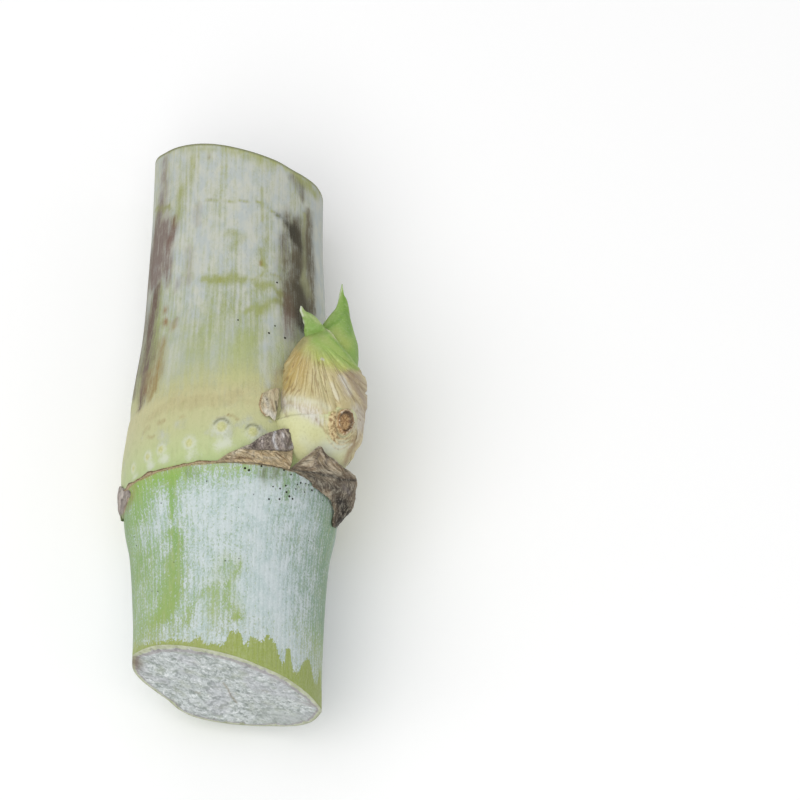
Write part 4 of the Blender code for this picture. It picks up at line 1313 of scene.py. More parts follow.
outerScale = {
    # station of the scale's upper and lower edge by how far round the bud it is
    "top": smoothCurve([(-60, 14.6), (20, 15.2), (49, 15.6), (80, 16.0), (108, 18.0), (146, 21.5), (165, 22.4),
                        (190, 22.3), (220, 21.5), (250, 21)]),
    "low": smoothCurve([(-60, 4.0), (20, 3.2), (45, 3.6), (60, 4.8), (72, 6.4), (82, 8.2), (92, 8.6), (112, 8.2),
                        (122, 7.4), (150, 6.6), (190, 6.4), (250, 8.0)]),
    "turned": (-60, 250),
    "rows": 120,
    "columns": 360,
    "jag": 0.7,
    "fanPixel": (312.0, 333.0),  # where the lines of the scale come together
    "fanLines": 11.0,
    "ribsBelow": 343,  # the row of pixels below which its ribs begin
    "smoothCorner": (328, 391),  # they end again to the left of this pixel and below it
    "ground": (200, 186, 138),
    "strokes": [
        ("cream", 0.7, [(318, 376, 9), (328, 392, 10)]),
        ("straw", 0.5, [(306, 387, 6), (312, 396, 7)]),
        ("gold", 0.85, [(299, 354, 8), (293, 372, 9), (287, 388, 6)]),
        ("goldDeep", 0.2, [(297, 352, 4), (288, 370, 4), (283, 384, 3)]),
        ("gold", 0.5, [(306, 364, 5), (303, 384, 5)]),
        ("mauveBrown", 0.85, [(350, 374, 6), (358, 386, 8), (363, 402, 7), (362, 425, 6)]),
        ("mauveGrey", 0.6, [(342, 380, 4), (347, 392, 5)]),
        ("mauveBrown", 0.5, [(345, 370, 4), (356, 378, 6)]),
        # painted highlight: a whitish sheen on the scale's right side
        ("white", 0.75, [(341, 376, 2.4), (345, 383, 2.4), (350, 393, 2.4)]),
        ("white", 0.45, [(331, 384, 2), (338, 398, 2)]),
        ("leafYellow", 0.95, [(308, 350, 6), (320, 358, 8), (334, 364, 6), (346, 369, 3)]),
        ("leaf", 0.9, [(316, 341, 8), (326, 348, 10), (340, 356, 8), (352, 365, 5)]),
        ("leaf", 0.9, [(328, 335, 6), (340, 346, 6), (350, 357, 6), (357, 367, 4)]),
        ("leafDark", 0.75, [(307, 333, 4), (318, 333, 5), (326, 332, 4)]),
        ("oliveBrown", 0.6, [(303, 341, 3.0), (299, 348, 3.0)]),
        ("cream", 0.3, [(306, 350, 2.4), (312, 356, 2.4)]),
        ("leafDark", 0.5, [(331, 337, 1.4), (342, 348, 1.4), (351, 361, 1.4)]),
        ("creamPale", 0.95, [(327.5, 329, 1.2), (337.5, 337.5, 1.2), (347.5, 347.5, 1.2), (355, 358.5, 1.2),
                             (361, 366.5, 1.3), (367, 374.5, 1.4)]),
        ("creamPale", 0.85, [(288, 399, 4), (302, 400, 4), (318, 403, 5), (328, 408, 4)]),
        ("membrane", 0.85, [(282, 408, 6), (298, 410, 6), (312, 414, 6)]),
        ("mauveGrey", 0.75, [(280.5, 386, 2.2), (279, 396, 3.6), (283, 405, 4)]),
        ("membrane", 0.7, [(357, 412, 6), (360, 424, 6), (357, 436, 5)]),
        ("tanDark", 0.6, [(364.5, 408, 1.8), (364.5, 425, 1.8), (360, 438, 1.6), (352, 452, 1.6)]),
        ("white", 0.95, [(321, 358.4, 1.0), (323, 360, 1.0)]),
    ],
}


def eyeReach(points):
    # how far points of the bud's foot lie from the middle of its root eye, 1 at the rim; then across it and up
    eyeShape = foot["eye"]
    middle = budRing(eyeShape["station"], eyeShape["turned"], 0)
    normal = budRing(eyeShape["station"], eyeShape["turned"], 1) - middle
    normal = normal / np.linalg.norm(normal)
    side = np.cross(np.array([0, 1.0, 0]), normal)
    side = side / np.linalg.norm(side)
    offset = points - middle
    across = offset @ side
    up = offset @ np.cross(normal, side)
    reach = np.hypot(across / eyeShape["width"], up / eyeShape["height"])
    return np.where(offset @ normal > -2.5, reach, 9.0), across, up


def wrinkles(reach, rings):
    # thin rings round the root eye, each (how strong, how far out, how thin, where it is seen)
    return sum(strong * hill((reach - out) / thin) * seen for strong, out, thin, seen in rings)


def buildFoot():
    low, high = foot["span"]
    t = np.linspace(low, high, foot["rows"])[:, None]
    turned = np.linspace(0, 360, foot["columns"], endpoint=False)[None, :]
    t, turned = np.broadcast_arrays(t, turned)
    top = fade((high - t) / foot["topRound"])
    grow = -0.12 - 1.2 * (1 - np.sqrt(np.clip(top, 0, 1)))
    scaleLow = outerScale["low"]((turned + 110) % 360 - 110)
    grow = grow - 0.5 * fade((t - scaleLow - 0.2) / 0.6)  # drawn in where the scale covers it
    left = fade((t - 1.0) / 3) * (1 - fade((t - 7.0) / 4)) * hill((turned - 205) / 40)
    flat = budRing(t, turned, grow + 1.5 * left).reshape(-1, 3)
    reach, across, up = eyeReach(flat)
    reach = reach + 0.3 * (cloud(flat, (0.9, 0.9, 0.9), 41, 3) - 0.5)
    lumps = cloud(flat, (0.5, 0.5, 0.5), 43, 3)
    rim = hill((reach - 0.9) / 0.17) * (0.6 + 0.8 * lumps)
    hollow = 1 - fade((reach - 0.42) / 0.36)
    rings = wrinkles(reach, [(1, 1.42, 0.1, up < 0.3), (0.8, 1.72, 0.1, up < -0.3), (0.6, 2.02, 0.1, up < -0.8)])
    lift = 0.5 * rim - 0.28 * hollow + 0.3 * hill(reach / 0.34) + 0.1 * rings + hollow * 0.5 * (lumps - 0.5)
    lift = lift + 0.12 * (cloud(flat, (3, 4, 3), 44) - 0.5)
    lift = lift + hill((across + 1.85) / 0.5) * hill((up + 0.2) / 1.0) * (0.15 + 0.5 * lumps)
    outward = (budRing(t, turned, 1.0) - budRing(t, turned, 0.0)).reshape(-1, 3)
    outward = outward / np.linalg.norm(outward, axis=1, keepdims=True)
    points, faces = closedTube((flat + outward * lift[:, None]).reshape(*t.shape, 3))

    def padded(values, end=0.0):
        # the two points that close the ends come last
        return np.concatenate([values.ravel(), [end, end]])

    reach, across, up = [padded(values, 9.0) for values in (reach, across, up)]
    lumps = cloud(points, (0.5, 0.5, 0.5), 43, 3)
    fields = budFields(points, padded(np.radians(turned) * 9), padded(t), foot)
    fields["scab"] = 1 - fade((reach - 1.0) / 0.16)
    # painted shade in the scab: a ring inside its raised rim and a thin line at the rim's outer foot
    ring = hill((reach - 0.76) / 0.13) * (0.7 + 0.6 * lumps)
    fields["ringShade"] = np.clip(ring + 0.55 * hill((reach - 1.18) / 0.06), 0, 1)
    fields["flake"] = hill((reach - 0.92) / 0.12) * fade((lumps - 0.35) / 0.2)
    crust = fade((reach - 0.95) / 0.15) * (1 - fade((reach - 1.55) / 0.5))
    crust = crust * (0.1 + 0.9 * fade((0.3 - across) / 1.6)) * fade((1.6 - up) / 1.2)
    below = fade((0.2 - up) / 0.8)
    brownRings = wrinkles(reach, [(1, 1.4, 0.06, below), (1, 1.75, 0.06, below), (0.7, 2.1, 0.06, below)])
    fields["crust"] = np.clip(crust + 0.6 * brownRings, 0, 1)
    fields["striped"] = 0.08 + 0.5 * hill((padded(turned) - 40) / 30)
    fields["papery"] = papery(points)
    makePiece("budFoot", points, faces, fields, [budFinish("footFinish", 0.4)], ["bud_base"])


def buildOuterScale():
    turned = np.linspace(*outerScale["turned"], outerScale["columns"])[None, :]
    around = np.radians(turned)
    noiseAt = np.stack([np.cos(around) * 6, np.sin(around) * 6, 0 * around], axis=-1)
    low = outerScale["low"](turned) + outerScale["jag"] * (cloud(noiseAt, (0.5, 0.5, 1), 51, 3) - 0.5)
    top = outerScale["top"](turned) + 0.2 * (cloud(noiseAt, (0.4, 0.4, 1), 52, 2) - 0.5)
    share = np.linspace(0, 1, outerScale["rows"])[:, None]
    turned, t = np.broadcast_arrays(turned, low + (top - low) * share)
    flat = budRing(t, turned, 0).reshape(-1, 3)
    x, y = inPicture(flat)
    fanX, fanY = outerScale["fanPixel"]
    fan = np.arctan2(x - fanX, np.maximum(y - fanY, 1)) * outerScale["fanLines"]
    ribs = np.abs(cloud(np.stack([fan, y / 60, 0 * fan], axis=-1), (1.5, 1, 1), 53, 2) - 0.5) * 2
    cornerX, cornerY = outerScale["smoothCorner"]
    striped = 1 - 0.9 * fade((y - cornerY) / 9) * fade((cornerX - x) / 14)
    striped = fade((y - outerScale["ribsBelow"]) / 20) * striped
    grow = 0.1 - 0.3 * (1 - fade(ribs / 0.35)) * striped + 0.15 * (cloud(flat, (2.5, 4, 2.5), 54) - 0.5)
    thin = fade(np.minimum((t - low).ravel(), (top - t).ravel() * 2) / 1.6)
    outer = budRing(t, turned, (grow - 0.16 * (1 - thin)).reshape(t.shape))
    inner = budRing(t, turned, (grow - 0.18 - 0.3 * thin).reshape(t.shape))
    points, faces = closedSheet(outer, inner)
    fields = budFields(points, twice(fan), twice(y) / shot["pixelsPerMm"], outerScale)
    leafy = fade((fields["ground"][:, 1] - fields["ground"][:, 0]) / 0.08)
    lowFade = fade((twice(t - low) - 0.2) / 1.6)
    fields["striped"] = twice(striped) * (1 - 0.75 * leafy) * lowFade + 0.04
    fields["papery"] = papery(points)
    made = budFinish("scaleFinish", 0.55)
    makePiece("outerScale", points, faces, fields, [made], ["bud_outer_scale"])


# The two horns; stops are (left, right, y, near, how deep it is for its width), left, right and y in pixels

outerHorn = {
    "name": "outerHorn", "slot": "outer_scale", "nodes": [], "finish": "hornFinish",
    "sides": 60, "seed": 61, "bumps": 0.35, "striped": 0.06, "wander": 0.8, "ground": (146, 178, 96),
    "stops": [(306, 334, 343, 10.6, 0.6), (305, 331, 337, 11.5, 0.66), (304, 326.5, 331, 12.2, 0.65),
             (304.4, 322.8, 325.5, 12.5, 0.6), (303, 320.2, 322.2, 12.4, 0.6), (302.4, 316.5, 318, 12.2, 0.55),
             (300.9, 311.5, 314, 12.0, 0.5), (299.6, 305.2, 310.8, 11.8, 0.5), (299.9, 303.4, 308.3, 11.7, 0.6),
             (300.4, 301.8, 306, 11.6, 0.8)],
    "strokes": [
        ("leafDark", 0.5, [(310, 326, 3), (320, 327, 3)]),
        ("leafPale", 0.7, [(302, 308, 2), (305, 315, 2), (313, 318, 2), (320, 323, 2)]),
        ("white", 0.85, [(300.6, 306, 1.4), (301, 311, 1.0), (303, 316, 0.9)]),
        ("white", 0.85, [(302.5, 320.5, 1.2), (303.2, 324.5, 1.1)]),
        ("leafDark", 0.4, [(308, 316, 0.9), (313, 321, 0.9)]),
        ("leafDark", 0.5, [(306, 330, 2), (320, 331, 2.5)]),
    ],
}

innerScale = {
    "name": "innerScale", "slot": "inner_scale", "nodes": ["bud_inner_scale"], "finish": "innerFinish",
    "sides": 90, "seed": 62, "bumps": 0.3, "striped": 0.06, "wander": 0.8, "ground": (138, 176, 80),
    "stops": [(300, 352, 392, 10.2, 0.9), (300, 357, 372, 10.2, 0.85), (302, 358.6, 357, 10.0, 0.8),
              (306, 358.2, 347, 9.8, 0.78), (312, 356.4, 340, 9.5, 0.75), (317, 354.6, 334, 9.2, 0.72),
              (322.4, 352.3, 325.5, 8.8, 0.7), (328, 350.3, 318, 8.5, 0.66), (331.5, 349.7, 313.6, 8.2, 0.62),
              (335.4, 349, 309, 8.0, 0.6), (337.6, 348, 303.3, 7.8, 0.55), (338.6, 346.5, 298.8, 7.7, 0.5),
              (339.2, 344.1, 294.6, 7.6, 0.55), (340.4, 343.2, 289.6, 7.5, 0.6), (341.7, 342.6, 284.4, 7.5, 0.8)],
    "strokes": [
        ("leafYellow", 0.5, [(336, 332, 6), (346, 344, 7)]),
        ("leafDark", 0.75, [(343, 294, 1.5), (345, 306, 2.5), (348, 318, 3.5), (350, 332, 3)]),
        ("leafDark", 0.75, [(345, 312, 1.4), (339, 320, 1.6), (332, 325, 1.6), (326, 329, 1.4)]),
        ("leafPale", 0.4, [(341.5, 288, 2), (339, 300, 2), (335, 309, 2.5), (330, 317, 2.5), (326, 323, 2)]),
        ("leafDark", 0.5, [(337, 303, 0.8), (333, 313, 0.8)]),
        ("white", 0.4, [(342.5, 286, 0.8), (339, 298, 0.8), (333, 311, 0.8)]),
        ("shade", 0.4, [(349, 297, 0.9), (351, 308, 0.9)]),
        ("leafDark", 0.4, [(356, 340, 1.6), (358, 360, 1.6)]),
    ],
}


def buildHorn(horn):
    table = np.array(horn["stops"], float)
    fine = np.linspace(0, len(table) - 1, len(table) * 6)
    turned = np.arange(horn["sides"]) / horn["sides"] * math.tau
    rings = []
    for left, right, y, near, deep in zip(*[smoothCurve(list(enumerate(column)))(fine) for column in table.T]):
        a, b = atNear(left, y, near), atNear(right, y, near)
        middle = (a + b) / 2
        half = (b[0] - a[0]) / 2
        rings.append(np.stack([middle[0] + half * np.cos(turned), middle[1] + 0 * turned,
                               middle[2] + half * deep * np.sin(turned)], axis=-1))
    rings = np.array(rings)
    rings[..., 2] += (cloud(rings, (0.6, 1.6, 0.6), horn["seed"], 3) - 0.5) * horn["bumps"]
    points, faces = closedTube(rings)
    fields = budFields(points, points[:, 0] * 2, points[:, 1], horn)
    fields["striped"] = np.full(len(points), horn["striped"])
    makePiece(horn["name"], points, faces, fields, [budFinish(horn["finish"], 0.5)], horn["nodes"])


buildFoot()
buildOuterScale()
buildHorn(outerHorn)
buildHorn(innerScale)


# Scraps of the torn leaf sheath

def rowPoints(rows):
    # control rows of (x, y, lift) in pixels, or of (degrees, station, lift, "round") out of the picture's sight
    def spot(first, second, lift, *hidden):
        if hidden:
            return stemPoint(second, math.radians(first), float(stemRadius(second)) + lift)
        return castOut(first, second, lift)

    return np.array([[spot(*stop) for stop in row] for row in rows])


def smoothGrid(places, v, u):
    # a smooth surface through a grid of places; v and u run from 0 to 1 and have the same shape
    rows, columns = places.shape[:2]

    def weights(s, count):
        s = np.clip(s, 0, 1) * (count - 1)
        i = np.clip(np.floor(s).astype(int), 0, count - 2)
        f = s - i
        around = [np.clip(i + k, 0, count - 1) for k in (-1, 0, 1, 2)]
        share = [(-f + 2 * f**2 - f**3) / 2, (2 - 5 * f**2 + 3 * f**3) / 2, (f + 4 * f**2 - 3 * f**3) / 2,
                 (-(f**2) + f**3) / 2]
        return around, share

    vi, vs = weights(v, rows)
    ui, us = weights(u, columns)
    total = 0
    for a in range(4):
        for b in range(4):
            total = total + places[vi[a], ui[b]] * (vs[a] * us[b])[..., None]
    return total


scrapColours = {
    "pale": (222, 212, 188), "light": (190, 172, 140), "warm": (160, 126, 86), "grey": (128, 114, 98),
    # shadowAndSpecks is painted shadow, and also the tan flap's own dark specks
    "dark": (70, 60, 50), "shadowAndSpecks": (38, 37, 34), "orange": (206, 180, 136), "brown": (128, 98, 66),
    "glint": (236, 234, 236), "lilac": (182, 172, 170), "umber": (92, 80, 74), "cream": (220, 212, 188),
    "leaf": (172, 190, 132), "slate": (96, 88, 78), "gold": (172, 134, 84), "bark": (132, 98, 62),
    "white": (226, 222, 210), "pink": (190, 178, 172),
}


scrapPaints = {
    "dark": (70, 58, 48), "pale": (232, 222, 200), "shade": (44, 40, 34),
}


def scrapFinish(name, veinAcross, contrast=1.0, gloss=0.35):
    made = Finish(name, gloss, scrapPaints)
    where = made.add("ShaderNodeCombineXYZ", {}, [made.field("acrossScrap"), made.field("alongScrap"), 0.0])
    veins = made.noise(made.scaled(where, veinAcross), 4.0, 0.65, 0.5)
    blotch = made.grain(0.9, 0.9, 0.9, 4, 0.6)
    crumbs = made.grain(3.4, 3.4, 3.4, 3, 0.6)
    ground = made.field("ground", "Color")
    thin = made.noise(made.scaled(where, (5.5, 0.8, 1.0)), 3.0, 0.6, 0.8)
    lines = made.lines(veins, 0.004, 0.04)
    darker = made.blend(0.72, ground, "dark")
    lighter = made.blend(0.5, ground, "pale")
    strength = 0.3 + 0.7 * contrast
    colour = made.blend(made.step(veins * 0.5 + crumbs * 0.5, 0.5, 0.64) * 0.75 * strength, ground, lighter)
    colour = made.blend(made.step(1 - veins * 0.5 - blotch * 0.5, 0.5, 0.62) * 0.6 * contrast, colour, darker)
    colour = made.blend(lines * 0.5 * contrast, colour, darker)
    colour = made.blend(made.step(thin, 0.52, 0.64) * 0.65 * strength, colour, lighter)
    colour = made.blend(made.step(1 - thin, 0.53, 0.66) * 0.6 * contrast, colour, darker)
    # painted shade in the valleys of the crumpled sheet, and a painted highlight on its peaks
    colour = made.blend(made.field("valleyShade") * made.step(crumbs, 0.3, 0.6) * contrast, colour, darker)
    peakHighlight = made.field("peakHighlight") * made.step(veins * 0.5 + crumbs * 0.5, 0.42, 0.56) * strength
    colour = made.blend(peakHighlight, colour, lighter)
    colour = made.blend(made.field("shade"), colour, "shade")
    height = veins * 0.7 + thin * 0.5 + crumbs * 0.4 + blotch * 0.3 - lines * 0.3
    return made.finish(colour, 0.6 + crumbs * 0.2, made.bump(height, 1.0, 0.25))


def buildScrap(scrap):
    places = rowPoints(scrap["rows"])
    count, columns = scrap["grid"]
    seed, jag, (veinU, veinV) = scrap["seed"], scrap["jag"], scrap["veins"]
    v, u = np.meshgrid(np.linspace(0, 1, count), np.linspace(0, 1, columns), indexing="ij")
    wide = np.linalg.norm(places[len(places) // 2, -1] - places[len(places) // 2, 0])
    tall = np.linalg.norm(places[-1, places.shape[1] // 2] - places[0, places.shape[1] // 2])

    def rag(along, side):
        line = np.stack([along * 0 + seed * 3.7, along, along * 0 + side * 9.1], axis=-1)
        return cloud(line, (1, 0.9, 1), seed + side, 4) - 0.5

    low = jag / tall * rag(u * wide, 1)
    high = 1 + jag / tall * rag(u * wide, 2)
    first = jag / wide * rag(v * tall, 3)
    last = 1 + scrap.get("farJag", jag) / wide * (rag(v * tall, 4) - 0.2)
    surface = smoothGrid(places, low + (high - low) * v, first + (last - first) * u)
    flat = surface.reshape(-1, 3)
    outward = flat * np.array([1, 0, 1])
    outward = outward / np.linalg.norm(outward, axis=1, keepdims=True)
    border = np.minimum(np.minimum(u, 1 - u) * wide, np.minimum(v, 1 - v) * tall).ravel()
    cross = u * wide * veinU + v * tall * veinV
    line = np.stack([cross.ravel(), (u * wide).ravel() * 0.15, 0 * cross.ravel()], axis=-1)
    ridges = np.abs(cloud(line, (0.7, 1, 1), seed + 9, 3) - 0.5) * 2
    crumple = cloud(flat, scrap["crumpleSize"], seed + 8, 4) - 0.5
    folds = crumple - 0.35 * ridges + 0.1
    lift = scrap["crumple"] * crumple - scrap["ridges"] * ridges
    outer = flat + outward * lift[:, None]
    inner = outer - outward * (scrap["thick"] * (0.35 + 0.65 * fade(border / 0.8)))[:, None]
    points, faces = closedSheet(outer.reshape(surface.shape), inner.reshape(surface.shape))
    fields = {
        "acrossScrap": twice(cross),
        "alongScrap": twice(u * wide - v * tall * veinU),
        "ground": paint(points, scrap["ground"], scrap["strokes"], scrapColours, 0.9),
        "shade": twice(np.clip(scrap["shade"](u, v), 0, 1)),
        # painted shade where the sheet dips, painted highlight where it rises
        "valleyShade": twice(0.6 * fade((-folds - 0.04) / 0.2)),
        "peakHighlight": twice(0.6 * fade((folds - 0.06) / 0.2)),
    }
    makePiece(scrap["name"], points, faces, fields, [scrapFinish(*scrap["finish"])], [scrap["node"]])


# Each scrap: rows of control points, and how it looks

flapRight = {
    "name": "flapRight", "slot": "grey_sheath", "node": "sheath_flap_right",
    "grid": (110, 190), "seed": 5, "jag": 0.35, "farJag": 3.0, "veins": (0.35, 1.0),
    "crumple": 0.7, "crumpleSize": (1.0, 1.0, 1.0), "ridges": 0.35, "thick": 0.45,
    "finish": ("drySheath", (1.9, 0.25, 1.0)), "shade": lambda u, v: 0.5 * fade((u - 0.86) / 0.1),
    "ground": (152, 134, 110),
    "rows": [
        [(290.5, 469.7, 0.3), (299, 473.6, 0.35), (308, 478.1, 0.4), (315, 485.5, 0.5), (322, 492.5, 0.5),
         (329, 498, 0.6), (334.5, 505.5, 0.6), (335.5, 515, 0.5), (334.5, 526, 0.4), (100, -2.2, 0.3, "round")],
        [(290.8, 469, 0.5), (303, 472.5, 1.0), (315, 476, 1.4), (324, 482, 1.7), (332, 487, 1.8), (339, 491, 2.0),
         (342, 500, 1.7), (343, 510, 1.2), (340, 522, 0.7), (100, -1.4, 0.4, "round")],
        [(291, 468.6, 0.7), (304, 470.5, 1.7), (316, 471.5, 2.4), (326, 475, 2.8), (336, 477, 3.1), (346, 480.5, 3.1),
         (350.5, 489, 2.8), (349, 503, 2.1), (343, 519, 1.0), (100, -0.6, 0.5, "round")],
        [(291.2, 468.3, 0.9), (304.5, 463.5, 2.0), (316, 459.5, 3.3), (325, 464, 3.9), (335, 469, 3.7),
         (348, 476, 3.4), (354.5, 484, 3.2), (353.5, 499, 2.6), (346, 516, 1.4), (101, 0.0, 0.5, "round")],
        [(291.5, 467.8, 1.0), (303, 458.3, 2.4), (313.5, 450.6, 4.3), (321.2, 446, 4.9), (331, 456.5, 4.5),
         (345, 467.5, 3.9), (355.5, 476.8, 3.4), (357, 492, 2.8), (350, 513, 1.6), (101, 0.6, 0.5, "round")],
    ],
    "strokes": [
        ("light", 0.7, [(304, 463, 4), (316, 456, 5), (326, 464, 4), (340, 471, 4)]),
        ("dark", 0.5, [(308, 462, 0.9), (314, 457, 0.9), (319, 451, 0.9)]),
        ("dark", 0.55, [(322, 452, 1.2), (326, 457, 1.2), (325, 463, 1.0)]),
        ("umber", 0.5, [(311, 467, 0.9), (320, 465, 1.0), (328, 468, 0.9)]),
        ("light", 0.5, [(331, 462, 1.4), (334, 468, 1.4)]),
        ("pale", 0.55, [(304, 464, 2.0), (312, 459, 2.0)]),
        ("pale", 0.5, [(318, 470, 1.6), (330, 471, 1.8), (341, 475, 1.8)]),
        ("umber", 0.7, [(319, 454, 1.4), (315, 461, 1.4), (319, 467, 1.2)]),
        ("umber", 0.7, [(328, 457, 1.2), (326, 465, 1.2)]),
        ("umber", 0.65, [(302, 473.5, 1.4), (311, 477.5, 2.0)]),
        ("warm", 0.6, [(334, 465, 1.6), (342, 470, 1.6)]),
        ("slate", 0.95, [(312, 478, 4), (320, 484, 6), (334, 489, 7), (348, 490, 7)]),
        ("warm", 0.4, [(327, 491, 2.5), (333, 500, 2.5)]),
        # painted shadow over the flap's lower tip
        ("dark", 0.85, [(335, 499, 6), (346, 503, 8), (341, 520, 8)]),
        ("lilac", 0.45, [(344, 486, 2), (350, 494, 1.6)]),
        ("grey", 0.5, [(324, 484, 1.4), (330, 492, 1.4), (335, 499, 1.2)]),
        ("slate", 0.6, [(322, 474, 3), (338, 480, 3.5), (350, 486, 4)]),
        # painted shadow under the flap's lower tip, and painted shade along the crease of its fold
        ("shadowAndSpecks", 0.95, [(340, 502, 6), (345, 511, 8), (341, 522, 7)]),
        ("shadowAndSpecks", 0.85, [(294, 469.5, 1.0), (304, 471.8, 1.2), (316, 472.8, 1.4), (324, 475, 1.4), (334, 475.6, 1.5),
                          (341, 480, 1.5), (357, 480, 1.5)]),
        ("pale", 0.85, [(292, 467, 1.2), (303, 457, 1.3), (313, 449.4, 1.3), (320.5, 445.5, 1.2)]),
        ("pale", 0.6, [(324, 449.5, 1.0), (333, 458, 1.3), (345, 467.5, 1.4), (355, 476, 1.2)]),
        ("light", 0.5, [(296, 471.5, 0.8), (306, 475.5, 0.9), (314, 481, 0.9)]),
    ],
}

flapGrey = {
    "name": "flapGrey", "slot": "grey_sheath", "node": "sheath_flap_grey",
    "grid": (60, 150), "seed": 3, "jag": 0.35, "veins": (1.0, 0.4),
    "crumple": 0.65, "crumpleSize": (0.8, 0.8, 0.8), "ridges": 0.2, "thick": 0.4,
    "finish": ("greySheath", (1.5, 0.9, 1.0), 1.0, 0.6), "shade": lambda u, v: 0.4 * fade((0.14 - v) / 0.14),
    "ground": (156, 142, 132),
    "rows": [
        [(238, 449.5, 0.6), (248, 449.5, 0.7), (258, 449.5, 0.8), (268, 449.8, 0.9), (278, 450.4, 0.9),
         (287, 451, 0.9), (293.5, 449.5, 0.8)],
        [(239, 448.5, 0.8), (249, 446.5, 1.1), (259, 443.5, 1.4), (269, 441.5, 1.6), (278, 441, 1.6),
         (287, 441.5, 1.6), (294.6, 444, 1.3)],
        [(240, 447.6, 0.8), (250, 443.8, 1.2), (260, 436.8, 1.6), (269, 432.5, 1.9), (277, 429.8, 2.0),
         (284, 428, 2.0), (290.8, 428.5, 1.8)],
    ],
    "strokes": [
        ("umber", 0.8, [(256, 440, 3), (254, 446, 3)]),
        ("umber", 0.8, [(268, 435, 2), (269, 447, 2)]),
        ("umber", 0.7, [(288, 430, 1.6), (290, 438, 1.6), (286, 448, 1.4)]),
        ("lilac", 0.8, [(281, 438, 3.5), (284, 446, 2.5)]),
        ("lilac", 0.6, [(262, 438, 2), (262, 446, 2)]),
        ("glint", 0.95, [(275, 431.5, 1.3), (273.6, 440, 1.5), (277, 449, 1.5)]),
        ("glint", 0.7, [(282, 433, 1.2), (284, 437, 1.0)]),
        ("glint", 0.7, [(290, 448, 1.4), (293.5, 444, 1.0)]),
        ("cream", 0.9, [(239, 449, 1.1), (243, 447.2, 0.9), (247.5, 446.6, 1.0)]),
        ("umber", 0.8, [(243, 449.2, 0.8)]),
    ],
}

flapTan = {
    "name": "flapTan", "slot": "tan_sheath", "node": "sheath_flap_tan",
    "grid": (56, 170), "seed": 4, "jag": 0.22, "veins": (0.4, 1.0),
    "crumple": 0.25, "crumpleSize": (1.0, 1.0, 1.0), "ridges": 0.12, "thick": 0.3,
    "finish": ("tanSheath", (1.8, 0.5, 1.0), 0.8), "shade": lambda u, v: 0.5 * fade((0.1 - v) / 0.1),
    "ground": (202, 182, 144),
    "rows": [
        [(216, 462.2, 0.15), (228, 462.2, 0.3), (240, 462.2, 0.35), (252, 462.8, 0.35), (264, 464.3, 0.35),
         (276, 466.6, 0.35), (289.5, 469.8, 0.4)],
        [(217, 460.8, 0.2), (229, 457.5, 0.5), (241, 455.5, 0.6), (253, 455.8, 0.6), (266, 457, 0.6),
         (279, 459, 0.6), (292, 463, 0.6)],
        [(218, 459.8, 0.2), (230, 452.2, 0.5), (241, 448.5, 0.7), (253, 449.2, 0.7), (266, 449.6, 0.7),
         (279, 450.8, 0.7), (293, 450.5, 0.7)],
    ],
    "strokes": [
        ("bark", 0.7, [(226, 459, 1.2), (240, 457.5, 1.4), (254, 459, 1.4)]),
        ("brown", 0.45, [(246, 452, 0.9), (262, 455, 1.0), (272, 459, 1.0)]),
        ("orange", 0.7, [(256, 453, 2.0), (275, 456, 2.5), (284, 462, 2.5)]),
        ("cream", 0.6, [(233, 453, 1.6), (240, 451, 1.6)]),
        ("cream", 0.5, [(264, 457, 1.4), (278, 458, 1.6)]),
        ("orange", 0.75, [(222, 461, 1.0), (250, 460.4, 1.0), (270, 463.5, 1.0), (288, 468.5, 1.2)]),
        ("bark", 0.7, [(276, 452, 0.8), (284, 458, 0.8), (289, 465, 0.8)]),
        # painted shadow under the flap's lower edge; the dots below are the flap's own dark specks
        ("shadowAndSpecks", 0.7, [(255, 463.6, 0.8), (272, 466, 0.8), (287, 470, 0.8)]),
        ("shadowAndSpecks", 0.8, [(252, 455.6, 0.9), (254.4, 457, 0.9)]),
        ("shadowAndSpecks", 0.8, [(253.6, 452.4, 0.7)]), ("shadowAndSpecks", 0.8, [(257.4, 458.6, 0.7)]),
        ("shadowAndSpecks", 0.7, [(263, 454.6, 0.7)]), ("shadowAndSpecks", 0.7, [(267.4, 457.6, 0.7)]),
        ("shadowAndSpecks", 0.8, [(248, 451.8, 0.7)]), ("shadowAndSpecks", 0.7, [(270.6, 452, 0.7)]),
        ("shadowAndSpecks", 0.7, [(259, 451.6, 0.6)]), ("shadowAndSpecks", 0.6, [(262, 459.6, 0.6)]),
    ],
}

